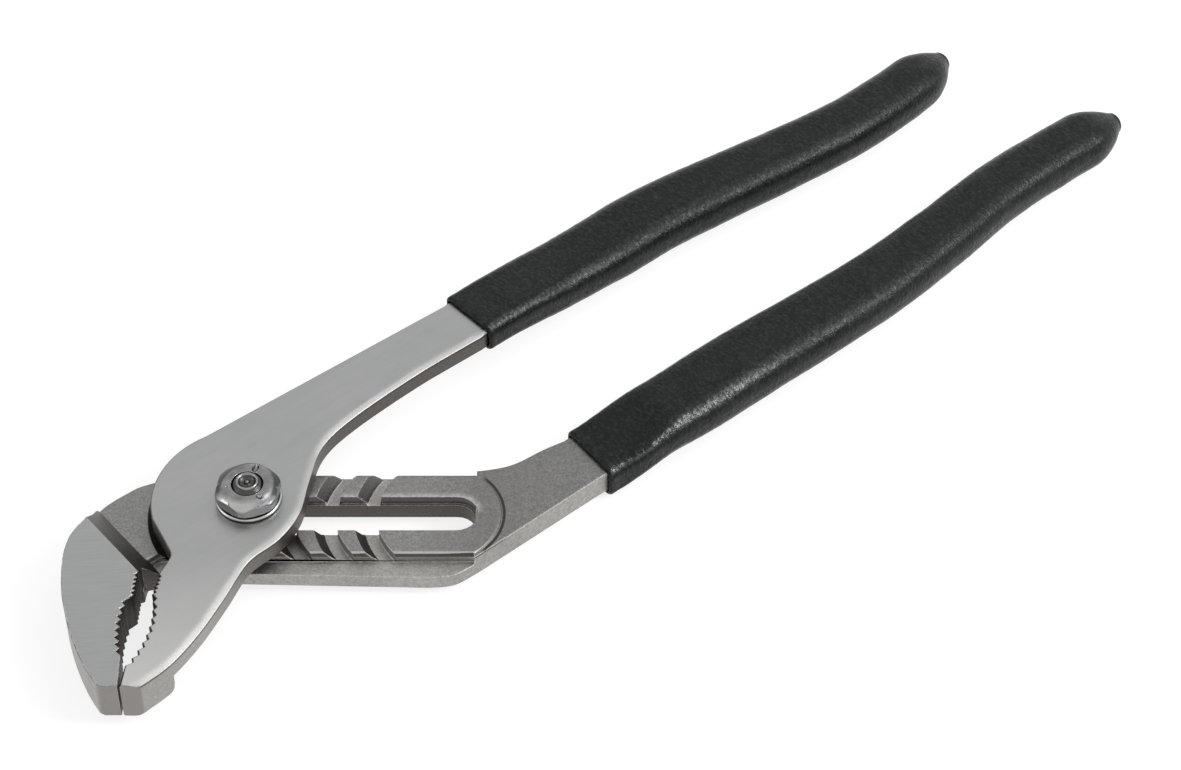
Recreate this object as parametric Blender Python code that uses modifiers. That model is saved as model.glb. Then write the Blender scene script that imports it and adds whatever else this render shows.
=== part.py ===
"""Water pump pliers: a slotted lower lever, an upper lever on a bolt that slides in
the slot, and a dipped grip on each handle.

Metres, +Z up. The origin is the centre of the bolt head's outer face. X runs along
the slot towards the handles, and Z is the bolt's axis. The jaws are shut and the bolt
stands in the first of its positions.
"""
import math

import bmesh
import bpy
from mathutils import Matrix, Vector

MM = 0.001

# Clearances
SEAT_GAP = 0.3 * MM
BORE_CLEARANCE = 0.3 * MM
SLOT_CLEARANCE = 0.5 * MM
GROOVE_CLEARANCE = 0.4 * MM
NOSE_GAP = 0.4 * MM

# Bolt, washer and nut
BOLT_DIAMETER = 8.0 * MM
BOLT_HEAD_DIAMETER = 16.0 * MM
BOLT_HEAD_THICKNESS = 1.7 * MM
BOLT_STANDOUT = 1.1 * MM
BOLT_END_CHAMFER = 0.8 * MM
WASHER_DIAMETER = 15.6 * MM
WASHER_THICKNESS = 0.8 * MM
NUT_ACROSS_FLATS = 13.4 * MM
NUT_HEIGHT = 3.8 * MM
NUT_FACE_DIAMETER = 10.6 * MM
NUT_SEAT_DIAMETER = 13.0 * MM
NUT_CHAMFER_ANGLE = 37.0
NUT_TURN = -8.0
NUT_SIDES = 6

# Thicknesses of the two levers
BASE_THICKNESS = 4.05 * MM
RIDGE_HEIGHT = 2.6 * MM
SHANK_DROP = 0.3 * MM
PLATE_THICKNESS = 5.1 * MM
NOSE_THICKNESS = 10.6 * MM
UPPER_NOSE_DROP = 0.5 * MM

# Slot, rails and the arc grooves that hold each bolt position
POSITIONS = 6
PITCH = 9.6 * MM
GROOVE_RADIUS = 18.6 * MM
GROOVE_FLOOR = 2.9 * MM
GROOVE_RAMP = 2.4 * MM
GROOVE_STEP = 0.15 * MM
RAIL_REACH = 12.5 * MM
RAIL_DRAFT = 0.5 * MM
LEDGE_WIDTH = 2.8 * MM
LEDGE_FLARE = 1.5 * MM
SLOT_LIP = 0.6 * MM
SLOT_LIP_STEP = 0.3 * MM
NECK_END_BULGE = 2.7 * MM
NECK_END_SETBACK = 4.0 * MM
GROOVE_RUNOUT = 4.0

# Upper lever's cheek and the tongue under it
CHEEK_MARGIN = 1.3 * MM
CHEEK_START = 120.0
CHEEK_END = 196.0
TONGUE_SPAN = 32.0
TONGUE_ROOT = 0.5 * MM
TONGUE_FLOOR_GAP = 0.55 * MM
TONGUE_RAIL_GAP = 0.7 * MM

# Jaws
JAW_LENGTH = 55.0 * MM
JAW_LINE = -25.0 * MM
NOSE_WIDTH = 4.5 * MM
NOSE_CORNER = 0.6 * MM
NOSE_LAND = 6.0 * MM
LOWER_NOSE_LAND = 8.8 * MM
RAMP_ANGLE = 45.0
RAMP_TOE = 1.0 * MM
FINE_TEETH = 5
FINE_DEPTH = 0.7 * MM
COARSE_TEETH = 9
COARSE_DEPTH = 0.9 * MM
UPPER_HOLLOW = 2.1 * MM
LOWER_HOLLOW = 1.1 * MM

# Handles and grips; the upper grip starts from the bolt, the lower from the slot's end
UPPER_HANDLE_LENGTH = 158.8 * MM
UPPER_HANDLE_ANGLE = 39.2
UPPER_GRIP_AHEAD = 49.4 * MM
UPPER_GRIP_ASIDE = 58.7 * MM
LOWER_HANDLE_LENGTH = 179.8 * MM
LOWER_HANDLE_ANGLE = 40.2
LOWER_GRIP_AHEAD = 30.9 * MM
LOWER_GRIP_ASIDE = 18.5 * MM
HAND_THICKNESS = 9.5 * MM
HAND_ROUND = 3.8 * MM
UPPER_RISE_LENGTH = 36.0 * MM
LOWER_RISE_LENGTH = 22.0 * MM
GRIP_WALL = 0.9 * MM
GRIP_GAP = 0.3 * MM
GRIP_LIP = 0.25 * MM
GRIP_TIP_LENGTH = 12.0 * MM
GRIP_NUB = 1.5 * MM
GRIP_NUB_RADIUS = 2.0 * MM
CORE_INTO_TIP = 1.5 * MM
CORE_LEAD = 5.0 * MM
CORE_START = 0.5 * MM
CORE_INSET = 0.06 * MM
SHANK_INTO_GRIP = 2.0 * MM
UPPER_SHANK_WIDTH = 13.9 * MM
LOWER_SHANK_WIDTH = 14.7 * MM
UPPER_SWELL_WIDTH = 16.7 * MM
LOWER_SWELL_WIDTH = 17.3 * MM
UPPER_SWELL_AT = 30.0 * MM
LOWER_SWELL_AT = 15.0 * MM
HANDLE_END_WIDTH = 12.6 * MM

# Edge rounding and curve steps
CHEEK_BACK_STEPS = 4
SMALL_ROUND = 0.5 * MM
RAIL_ROUND = 1.3 * MM
BACK_ROUND = 2.2 * MM
BACK_DROP = 0.7 * MM
FRONT_ROUND = 0.38 * MM
NOSE_ROUND = 1.6 * MM
HEEL_ROUND = 3.8 * MM
BACK_FACING = 0.5
SMOOTH_ANGLE = 40.0

# Cutters run past what they cut
CUT_OVERRUN = 1.0 * MM
CUTTER_REACH = 80.0 * MM

# Heights that follow from the stack of pieces on the bolt
UNDERSIDE = BOLT_HEAD_THICKNESS + SEAT_GAP
BASE_TOP = UNDERSIDE + BASE_THICKNESS
RIDGE_TOP = BASE_TOP + RIDGE_HEIGHT
SHANK_TOP = RIDGE_TOP - SHANK_DROP
PLATE_BOTTOM = RIDGE_TOP + SEAT_GAP
PLATE_TOP = PLATE_BOTTOM + PLATE_THICKNESS
NOSE_BOTTOM = PLATE_TOP - NOSE_THICKNESS
UPPER_NOSE_BOTTOM = NOSE_BOTTOM - UPPER_NOSE_DROP
WASHER_BOTTOM = PLATE_TOP + SEAT_GAP
WASHER_TOP = WASHER_BOTTOM + WASHER_THICKNESS
NUT_BOTTOM = WASHER_TOP + SEAT_GAP
NUT_TOP = NUT_BOTTOM + NUT_HEIGHT
BOLT_TOP = NUT_TOP + BOLT_STANDOUT
HAND_MIDDLE = (UNDERSIDE + PLATE_TOP) / 2

# Plan sizes that follow
BOLT_RADIUS = BOLT_DIAMETER / 2
SLOT_HALF = BOLT_RADIUS + SLOT_CLEARANCE
LAST_POSITION = (POSITIONS - 1) * PITCH
BASE_FAR = RAIL_REACH + RAIL_DRAFT
BASE_NEAR = -(RAIL_REACH + RAIL_DRAFT + LEDGE_WIDTH)
NECK_END = LAST_POSITION - NECK_END_SETBACK
NECK_END_RADIUS = RAIL_REACH + NECK_END_BULGE
CHEEK_RADIUS = GROOVE_RADIUS + GROOVE_FLOOR + CHEEK_MARGIN
NOSE_Y = -JAW_LENGTH
JAW_SHOULDER = (JAW_LINE - 11.5 * MM, -6.5 * MM)
JAW_THROAT = (JAW_LINE + 1.3 * MM, -22.0 * MM)

# How far each handle's centre line bows to its left, by share of the handle's length
UPPER_BOW = [
    (0.0, 0.0),
    (0.17, 1.9 * MM),
    (0.29, 2.1 * MM),
    (0.41, 2.0 * MM),
    (0.65, -1.9 * MM),
    (0.77, -3.3 * MM),
    (0.89, -2.4 * MM),
    (1.0, 0.0),
]
LOWER_BOW = [
    (0.0, 0.0),
    (0.15, -1.5 * MM),
    (0.27, -1.7 * MM),
    (0.4, -2.4 * MM),
    (0.52, -2.5 * MM),
    (0.65, -0.7 * MM),
    (0.77, 1.6 * MM),
    (0.89, 1.6 * MM),
    (1.0, 0.7 * MM),
]

# Plan directions in degrees
TOWARDS_JAWS = 180.0
FULL_TURN = 360.0


# Scene and materials

def clear_scene():
    for item in list(bpy.data.objects):
        bpy.data.objects.remove(item, do_unlink=True)


def new_collection(name):
    collection = bpy.data.collections.new(name)
    bpy.context.scene.collection.children.link(collection)
    return collection


def new_material(name, colour, roughness, metallic):
    material = bpy.data.materials.new(name)
    material.use_nodes = True
    shader = material.node_tree.nodes["Principled BSDF"]
    shader.inputs["Base Color"].default_value = (*colour, 1.0)
    shader.inputs["Roughness"].default_value = roughness
    shader.inputs["Metallic"].default_value = metallic
    material.diffuse_color = (*colour, 1.0)
    return material


clear_scene()
PARTS = new_collection("water_pump_pliers")
TOOLS = new_collection("cutters")


# Plan curves

def smooth(points, steps=6):
    """Catmull-Rom curve through plan points, both end points kept."""
    ends = [points[0], *points, points[-1]]
    curve = []
    for first, start, end, last in zip(ends, ends[1:], ends[2:], ends[3:]):
        p0, p1, p2, p3 = (Vector(p) for p in (first, start, end, last))
        for step in range(steps):
            t = step / steps
            a = 2 * p1 + (p2 - p0) * t
            b = (2 * p0 - 5 * p1 + 4 * p2 - p3) * t ** 2
            c = (3 * p1 - p0 - 3 * p2 + p3) * t ** 3
            curve.append(tuple((a + b + c) / 2))
    curve.append(tuple(points[-1]))
    return curve


def arc(centre, radius, start, end, steps=12):
    """Points on a circle from one angle to another, in degrees."""
    points = []
    for step in range(steps + 1):
        angle = math.radians(start + (end - start) * step / steps)
        x = centre[0] + radius * math.cos(angle)
        y = centre[1] + radius * math.sin(angle)
        points.append((x, y))
    return points


def toothed(start, end, hollow, count, depth):
    """Saw teeth from start to end, on a chord hollowed to its right by `hollow`.

    Tips lie on the curve and roots lie `depth` to its right.
    """
    start, end = Vector(start), Vector(end)
    chord = end - start
    right = Vector((chord.y, -chord.x)).normalized()
    points = []
    for step in range(2 * count + 1):
        t = step / (2 * count)
        bulge = hollow * (1 - (2 * t - 1) ** 2)
        root = depth if step % 2 else 0.0
        points.append(tuple(start + chord * t + right * (bulge + root)))
    return points


# Solids

def link_tool(item):
    TOOLS.objects.link(item)
    item.hide_render = True
    item.display_type = "WIRE"


def mesh_object(name, mesh):
    item = bpy.data.objects.new(name, mesh)
    link_tool(item)
    return item


def tidy_mesh(mesh):
    work = bmesh.new()
    work.from_mesh(mesh)
    bmesh.ops.remove_doubles(work, verts=work.verts, dist=0.001 * MM)
    bmesh.ops.dissolve_limit(work, angle_limit=math.radians(0.1), verts=work.verts, edges=work.edges)
    bmesh.ops.recalc_face_normals(work, faces=work.faces)
    work.to_mesh(mesh)
    work.free()


def prism(name, outline, bottom, top):
    """A plan outline raised from one height to another."""
    curve = bpy.data.curves.new(name, "CURVE")
    curve.dimensions = "2D"
    curve.fill_mode = "BOTH"
    curve.extrude = (top - bottom) / 2
    spline = curve.splines.new("POLY")
    spline.points.add(len(outline) - 1)
    for point, place in zip(spline.points, outline):
        point.co = (place[0], place[1], 0.0, 1.0)
    spline.use_cyclic_u = True
    shape = bpy.data.objects.new(name, curve)
    TOOLS.objects.link(shape)
    shape.location.z = (top + bottom) / 2
    bpy.context.view_layer.update()
    evaluated = shape.evaluated_get(bpy.context.evaluated_depsgraph_get())
    mesh = bpy.data.meshes.new_from_object(evaluated)
    mesh.transform(shape.matrix_world)
    bpy.data.objects.remove(shape, do_unlink=True)
    tidy_mesh(mesh)
    return mesh_object(name, mesh)


def round_edges(item, width, weights, segments=2):
    """Bevel the flat faces' rims.

    `weights` gives each rim edge's share of the width, from the edge's middle, the flat
    face's normal and the side wall's normal.
    """
    mesh = item.data
    work = bmesh.new()
    work.from_mesh(mesh)
    layer = work.edges.layers.float.new("bevel_weight_edge")
    for edge in work.edges:
        low, high = sorted((face.normal for face in edge.link_faces), key=lambda n: abs(n.z))
        if abs(low.z) < 0.5 < abs(high.z):
            middle = (edge.verts[0].co + edge.verts[1].co) / 2
            edge[layer] = weights(middle, high, low)
    work.to_mesh(mesh)
    work.free()
    bevel = item.modifiers.new("rounded_rim", "BEVEL")
    bevel.limit_method = "WEIGHT"
    bevel.width = width
    bevel.segments = segments


def flatten_rim(item, top):
    """Make the rounding under a top face shallow: as wide as it was, but BACK_DROP deep."""
    ready = item.evaluated_get(bpy.context.evaluated_depsgraph_get())
    item.data = bpy.data.meshes.new_from_object(ready)
    item.modifiers.clear()
    for vertex in item.data.vertices:
        drop = top - vertex.co.z
        if drop < 1.5 * BACK_ROUND:
            vertex.co.z = top - drop * BACK_DROP / BACK_ROUND


def boolean(target, tool, operation):
    step = target.modifiers.new(tool.name, "BOOLEAN")
    step.operation = operation
    step.solver = "EXACT"
    step.object = tool


def turned(name, profile, steps=48):
    """A profile of (radius, height) turned about the bolt's axis, from the top down."""
    mesh = bpy.data.meshes.new(name)
    verts = [(radius, 0.0, height) for radius, height in profile]
    edges = [(i, i + 1) for i in range(len(profile) - 1)]
    mesh.from_pydata(verts, edges, [])
    item = mesh_object(name, mesh)
    screw = item.modifiers.new("turned", "SCREW")
    screw.angle = math.tau
    screw.steps = steps
    screw.render_steps = steps
    screw.use_merge_vertices = True
    screw.merge_threshold = 0.001 * MM
    return item


def ring_sector(name, profile, start, end, steps=16):
    """A closed (radius, height) profile swept round the Z axis between two angles."""
    work = bmesh.new()
    turn = Matrix.Rotation(math.radians(start), 4, "Z")
    verts = [work.verts.new(turn @ Vector((radius, 0.0, height))) for radius, height in profile]
    face = work.faces.new(verts)
    bmesh.ops.spin(
        work,
        geom=[face],
        cent=(0.0, 0.0, 0.0),
        axis=(0.0, 0.0, 1.0),
        angle=math.radians(end - start),
        steps=steps,
    )
    mesh = bpy.data.meshes.new(name)
    work.to_mesh(mesh)
    work.free()
    tidy_mesh(mesh)
    return mesh_object(name, mesh)


# Handles: a smooth path in plan, and a rounded section that grows along it

def handle_points(start, length, angle, bow):
    """Centre-line points: a straight axis at an angle, bowed sideways along its length."""
    ahead = Vector((math.cos(math.radians(angle)), math.sin(math.radians(angle))))
    left = Vector((-ahead.y, ahead.x))
    return [Vector(start) + ahead * length * share + left * offset for share, offset in bow]


def path_samples(points):
    """Plan path as (distance, place, direction) samples, with a straight lead-in."""
    curve = [Vector(p) for p in smooth(points, 16)]
    samples = []
    distance = 0.0
    for here, there in zip(curve, curve[1:]):
        step = there - here
        samples.append((distance, here, step.normalized()))
        distance += step.length
    samples.append((distance, curve[-1], samples[-1][2]))
    return samples


def along(samples, distance):
    """Place and direction at a distance; before the start the path runs on straight."""
    start, place, direction = samples[0]
    if distance <= start:
        return place + direction * distance, direction
    for near, far in zip(samples, samples[1:]):
        if distance <= far[0]:
            share = (distance - near[0]) / (far[0] - near[0])
            return near[1].lerp(far[1], share), near[2].lerp(far[2], share).normalized()
    return samples[-1][1] + samples[-1][2] * (distance - samples[-1][0]), samples[-1][2]


def ease(value):
    value = min(max(value, 0.0), 1.0)
    return value * value * (3 - 2 * value)


def core_section(distance, handle):
    """Half width, half thickness, height and corner radius of a handle's steel core."""
    rise = ease(distance / handle.rise_length)
    swell = ease(distance / handle.swell_at)
    taper = ease((distance - handle.swell_at) / (handle.length - handle.swell_at))
    width = handle.shank_width + (handle.swell_width - handle.shank_width) * swell
    width += (HANDLE_END_WIDTH - handle.swell_width) * taper
    shank_thickness = handle.shank_top - handle.shank_bottom
    thickness = shank_thickness + (HAND_THICKNESS - shank_thickness) * rise
    shank_middle = (handle.shank_top + handle.shank_bottom) / 2
    middle = shank_middle + (HAND_MIDDLE - shank_middle) * rise
    corner = SMALL_ROUND + (HAND_ROUND - SMALL_ROUND) * rise
    return width / 2, thickness / 2, middle, corner


def ring(place, direction, middle, half_width, half_thickness, corner, per_corner=4):
    """A rounded rectangle standing across the path."""
    side = Vector((-direction.y, direction.x))
    corner = min(corner, 0.98 * half_width, 0.98 * half_thickness)
    points = []
    for quarter in range(4):
        across = (half_width - corner) * (1 if quarter in (0, 3) else -1)
        up = (half_thickness - corner) * (1 if quarter in (0, 1) else -1)
        for step in range(per_corner + 1):
            angle = math.radians(90 * (quarter + step / per_corner))
            u = across + corner * math.cos(angle)
            v = up + corner * math.sin(angle)
            spot = place + side * u
            points.append((spot.x, spot.y, middle + v))
    return points


def loft(name, rings):
    """A closed skin over rings of equal count, with flat ends."""
    work = bmesh.new()
    rows = [[work.verts.new(p) for p in row] for row in rings]
    for near, far in zip(rows, rows[1:]):
        for i in range(len(near)):
            j = (i + 1) % len(near)
            work.faces.new((near[i], near[j], far[j], far[i]))
    work.faces.new(rows[0])
    work.faces.new(rows[-1])
    bmesh.ops.recalc_face_normals(work, faces=work.faces)
    mesh = bpy.data.meshes.new(name)
    work.to_mesh(mesh)
    work.free()
    mesh.shade_smooth()
    mesh.set_sharp_from_angle(angle=math.radians(SMOOTH_ANGLE))
    return mesh_object(name, mesh)


class Handle:
    """One handle: its path, its steel core, the grip's cavity and the grip itself."""

    def __init__(self, name, points, rise_length, swell_at, swell_width, shank_width, shank_levels):
        self.name = name
        self.samples = path_samples(points)
        self.length = self.samples[-1][0]
        self.body_end = self.length - GRIP_TIP_LENGTH
        self.core_end = self.body_end + CORE_INTO_TIP
        self.rise_length = rise_length
        self.swell_at = swell_at
        self.swell_width = swell_width
        self.shank_width = shank_width
        self.shank_bottom, self.shank_top = shank_levels

    def ring(self, distance, grow, scale=1.0):
        place, direction = along(self.samples, distance)
        width, thickness, middle, corner = core_section(distance, self)
        width = (width + grow) * scale
        thickness = (thickness + grow) * scale
        return ring(place, direction, middle, width, thickness, max(corner + grow, SMALL_ROUND / 2))

    def stations(self, start, end, spacing=8.0 * MM):
        count = max(2, round((end - start) / spacing))
        return [start + (end - start) * i / count for i in range(count + 1)]

    def shank_end(self, distance):
        """The two plan corners where the flat shank ends inside the grip."""
        place, direction = along(self.samples, distance)
        half = core_section(distance, self)[0]
        side = Vector((-direction.y, direction.x)) * half
        return tuple(place - side), tuple(place + side)

    def core(self):
        rings = [self.ring(d, -CORE_INSET) for d in self.stations(CORE_START, self.core_end)]
        return loft(self.name + "_core", rings)

    def cavity(self):
        end = self.core_end + GRIP_GAP
        rings = [self.ring(d, GRIP_GAP) for d in self.stations(-CORE_LEAD, end)]
        return loft(self.name + "_cavity", rings)

    def grip(self):
        wall = GRIP_GAP + GRIP_WALL
        lip = wall + GRIP_LIP
        rings = [self.ring(0.0, wall - GRIP_LIP)]
        rings += [self.ring(share * GRIP_WALL, lip) for share in (0.4, 1.0)]
        rings += [self.ring(d, wall) for d in self.stations(2 * GRIP_WALL, self.body_end)]
        for share in (0.3, 0.55, 0.75, 0.88, 0.96):
            scale = math.sqrt(1 - share * share)
            rings.append(self.ring(self.body_end + share * GRIP_TIP_LENGTH, wall, scale))
        for rise, share in ((0.0, 1.0), (0.55, 0.85), (0.85, 0.6), (1.0, 0.25)):
            rings.append(self.nub_ring(self.length + rise * GRIP_NUB, share * GRIP_NUB_RADIUS))
        return loft(self.name + "_grip", rings)

    def nub_ring(self, distance, radius):
        place, direction = along(self.samples, distance)
        return ring(place, direction, HAND_MIDDLE, radius, radius, radius)


UPPER = Handle(
    "upper",
    handle_points(
        (UPPER_GRIP_AHEAD, UPPER_GRIP_ASIDE), UPPER_HANDLE_LENGTH, UPPER_HANDLE_ANGLE, UPPER_BOW
    ),
    UPPER_RISE_LENGTH,
    UPPER_SWELL_AT,
    UPPER_SWELL_WIDTH,
    UPPER_SHANK_WIDTH,
    (PLATE_BOTTOM, PLATE_TOP),
)
LOWER = Handle(
    "lower",
    handle_points(
        (LAST_POSITION + LOWER_GRIP_AHEAD, LOWER_GRIP_ASIDE),
        LOWER_HANDLE_LENGTH,
        LOWER_HANDLE_ANGLE,
        LOWER_BOW,
    ),
    LOWER_RISE_LENGTH,
    LOWER_SWELL_AT,
    LOWER_SWELL_WIDTH,
    LOWER_SHANK_WIDTH,
    (UNDERSIDE, SHANK_TOP),
)


# Outlines

def upper_teeth():
    fine_top = (JAW_LINE + 6.0 * MM, -22.8 * MM)
    fine_end = (JAW_LINE + 5.0 * MM, -28.6 * MM)
    coarse_end = (JAW_LINE + 0.9 * MM, NOSE_Y + NOSE_LAND)
    points = toothed(coarse_end, fine_end, UPPER_HOLLOW, COARSE_TEETH, COARSE_DEPTH)
    points += toothed(fine_end, fine_top, 0.0, FINE_TEETH, FINE_DEPTH)[1:]
    return points[::-1]


def upper_outline():
    near_start, far_start = UPPER.shank_end(-SHANK_INTO_GRIP)
    near_corner, far_corner = UPPER.shank_end(SHANK_INTO_GRIP)
    right = smooth([
        (JAW_LINE + NOSE_WIDTH + NOSE_CORNER, NOSE_Y + NOSE_CORNER),
        (JAW_LINE + NOSE_WIDTH + 6.5 * MM, NOSE_Y + 6.5 * MM),
        (JAW_LINE + 16.7 * MM, NOSE_Y + 15.5 * MM),
        (JAW_LINE + 21.7 * MM, NOSE_Y + 26.0 * MM),
        (1.2 * MM, -18.8 * MM),
        (7.8 * MM, -11.9 * MM),
        (12.0 * MM, -4.0 * MM),
        (13.7 * MM, 6.0 * MM),
        (16.2 * MM, 16.5 * MM),
        (23.2 * MM, 26.0 * MM),
        (UPPER_GRIP_AHEAD - 11.4 * MM, UPPER_GRIP_ASIDE - 18.5 * MM),
        near_start,
    ])
    cheek = arc((0.0, 0.0), CHEEK_RADIUS, CHEEK_START, CHEEK_END, 16)
    throat = smooth([
        (JAW_LINE + 6.8 * MM, -13.4 * MM),
        (JAW_LINE + 8.3 * MM, -16.9 * MM),
        (JAW_LINE + 7.4 * MM, -20.0 * MM),
    ])
    nose = [(JAW_LINE + NOSE_GAP / 2, NOSE_Y), (JAW_LINE + NOSE_WIDTH - NOSE_CORNER / 2, NOSE_Y)]
    shank = [near_corner, far_corner, far_start]
    return [*right, *shank, *cheek, *throat, *upper_teeth(), *nose]


def nose_block_outline():
    """Plan area where the upper lever keeps its full depth: along the teeth and at the nose."""
    left = JAW_LINE - CUTTER_REACH
    heel = NOSE_Y + 3.0 * MM
    return [
        (left, -21.3 * MM),
        (left, NOSE_Y - CUTTER_REACH),
        (CUTTER_REACH, NOSE_Y - CUTTER_REACH),
        (CUTTER_REACH, heel),
        (JAW_LINE + 15.5 * MM, heel),
        (JAW_LINE + 10.2 * MM, heel + 5.0 * MM),
        (JAW_LINE + 10.2 * MM, -25.0 * MM),
        (JAW_LINE + 8.0 * MM, -21.3 * MM),
    ]


def under_relief():
    """Cutter for all that lies under the upper plate, apart from the jaw's round-heeled nose block."""
    reach = UPPER_GRIP_ASIDE + CUTTER_REACH
    square = [(-reach, -reach), (reach, -reach), (reach, reach), (-reach, reach)]
    relief = prism("under_relief", square, UPPER_NOSE_BOTTOM - CUT_OVERRUN, PLATE_BOTTOM)
    block_bottom = UPPER_NOSE_BOTTOM - SEAT_GAP
    block = prism("nose_block", nose_block_outline(), block_bottom, PLATE_BOTTOM + CUT_OVERRUN)
    round_edges(block, HEEL_ROUND, lambda middle, flat, wall: 1.0 if flat.z < 0 else 0.0, segments=4)
    boolean(relief, block, "DIFFERENCE")
    return relief


def lower_teeth():
    fine_top = (JAW_LINE + 1.3 * MM, -22.4 * MM)
    fine_end = (JAW_LINE + 1.0 * MM, -28.8 * MM)
    coarse_top = (JAW_LINE - 0.2 * MM, -30.0 * MM)
    coarse_end = (JAW_LINE - 0.1 * MM - NOSE_GAP / 2, NOSE_Y + LOWER_NOSE_LAND)
    points = toothed(fine_top, fine_end, 0.0, FINE_TEETH, FINE_DEPTH)
    points += toothed(coarse_top, coarse_end, LOWER_HOLLOW, COARSE_TEETH - 1, COARSE_DEPTH)
    return points


def jaw_outline():
    """The lower jaw's block, with the foot of its ramp."""
    run = (PLATE_TOP - RIDGE_TOP) / math.tan(math.radians(RAMP_ANGLE)) + RAMP_TOE
    line = Vector(JAW_THROAT) - Vector(JAW_SHOULDER)
    foot = Vector((-line.y, line.x)).normalized() * run
    back = smooth([
        (JAW_LINE - NOSE_WIDTH - NOSE_CORNER, NOSE_Y + NOSE_CORNER),
        (JAW_LINE - NOSE_WIDTH - 4.1 * MM, NOSE_Y + 6.5 * MM),
        (JAW_LINE - 12.4 * MM, NOSE_Y + 15.5 * MM),
        (JAW_LINE - 15.3 * MM, NOSE_Y + 26.0 * MM),
        (JAW_LINE - 16.3 * MM, -19.0 * MM),
        (JAW_LINE - 15.7 * MM, -12.6 * MM),
        (JAW_LINE - 14.1 * MM, -8.7 * MM),
        (JAW_LINE - 12.3 * MM, -5.9 * MM),
        *cheek_back(RAIL_DRAFT)[:CHEEK_BACK_STEPS + 1],
    ])
    inner = [
        tuple(Vector(JAW_SHOULDER) + foot),
        tuple(Vector(JAW_THROAT) + foot * 0.9),
        (JAW_LINE + 1.7 * MM, -19.4 * MM),
    ]
    land = JAW_LINE - NOSE_GAP / 2
    nose = [
        (land, NOSE_Y + LOWER_NOSE_LAND - COARSE_DEPTH),
        (land, NOSE_Y),
        (JAW_LINE - NOSE_WIDTH + NOSE_CORNER, NOSE_Y),
    ]
    return [*nose, *back, *inner, *lower_teeth()]


def cheek_back(inset):
    """The outer edge from the jaw's shoulder round to the far rail, drawn in by `inset`."""
    aside, back = 0.6 * inset, 0.8 * inset
    return smooth([
        (JAW_LINE - 11.6 * MM + aside, -2.6 * MM),
        (JAW_LINE - 11.0 * MM + aside, 1.2 * MM - back),
        (JAW_LINE - 8.4 * MM + aside, 4.3 * MM - back),
        (JAW_LINE - 4.9 * MM + aside, BASE_FAR - 5.8 * MM - back),
        (JAW_LINE - 1.3 * MM + aside, BASE_FAR - 3.4 * MM - back),
        (-17.6 * MM, BASE_FAR - 0.6 * MM - inset),
        (-9.0 * MM, BASE_FAR - inset),
    ], CHEEK_BACK_STEPS)


def lower_outline():
    """Cheek, neck and shank in one plan outline."""
    near_start, far_start = LOWER.shank_end(-SHANK_INTO_GRIP)
    near_corner, far_corner = LOWER.shank_end(SHANK_INTO_GRIP)
    shoulder = LAST_POSITION + SLOT_HALF
    near = smooth([
        (LAST_POSITION - 6.0 * MM, BASE_NEAR - LEDGE_FLARE),
        (LAST_POSITION - 0.4 * MM, BASE_NEAR - LEDGE_FLARE + 0.7 * MM),
        (shoulder - 0.4 * MM, BASE_NEAR + 2.1 * MM),
        (shoulder + 6.0 * MM, BASE_NEAR + 7.4 * MM),
    ])
    far = smooth([
        far_start,
        (shoulder + 15.5 * MM, BASE_FAR + 7.4 * MM),
        (shoulder + 8.5 * MM, BASE_FAR + 2.8 * MM),
        (shoulder + 1.5 * MM, BASE_FAR + 0.9 * MM),
        (shoulder - 9.0 * MM, BASE_FAR),
    ])
    throat = smooth([
        (JAW_LINE + 1.8 * MM, -21.6 * MM),
        (JAW_LINE + 2.2 * MM, -18.6 * MM),
        (JAW_LINE + 3.6 * MM, BASE_NEAR - 0.5 * MM),
        (JAW_LINE + 6.4 * MM, BASE_NEAR),
    ])
    inside_jaw = [(JAW_LINE - 12.0 * MM, -9.0 * MM), (JAW_LINE - 5.0 * MM, -24.0 * MM)]
    shank = [near_start, near_corner, far_corner]
    return [*near, *shank, *far, *cheek_back(0.0)[::-1], *inside_jaw, *throat]


def ridge_outline():
    """The raised rails and cheek that the grooves are cut in."""
    reach = math.degrees(math.asin(RAIL_REACH / NECK_END_RADIUS))
    end = arc((NECK_END, 0.0), NECK_END_RADIUS, -reach, reach, 16)
    inside_jaw = [(JAW_LINE - 11.0 * MM, -6.0 * MM), (JAW_LINE - 1.0 * MM, -18.0 * MM)]
    near = [(JAW_LINE + 2.5 * MM, -RAIL_REACH - 2.1 * MM), (JAW_LINE + 5.0 * MM, -RAIL_REACH)]
    return [*end, *cheek_back(RAIL_DRAFT)[::-1], *inside_jaw, *near]


def slot_outline(half):
    left = arc((0.0, 0.0), half, 90.0, 270.0, 12)
    right = arc((LAST_POSITION, 0.0), half, -90.0, 90.0, 12)
    return [*left, *right]


# Pieces

def finish(item, name, material):
    """Make a worked object one of the part's named pieces."""
    TOOLS.objects.unlink(item)
    PARTS.objects.link(item)
    item.name = name
    item.data.name = name
    item.hide_render = False
    item.display_type = "TEXTURED"
    item.data.materials.clear()
    item.data.materials.append(material)
    return item


def bore_cutter(name, bottom, top):
    """A bolt hole through a piece that lies between two heights."""
    radius = BOLT_RADIUS + BORE_CLEARANCE
    return turned(name, [
        (0.0, top + CUT_OVERRUN),
        (radius, top + CUT_OVERRUN),
        (radius, bottom - CUT_OVERRUN),
        (0.0, bottom - CUT_OVERRUN),
    ])


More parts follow.
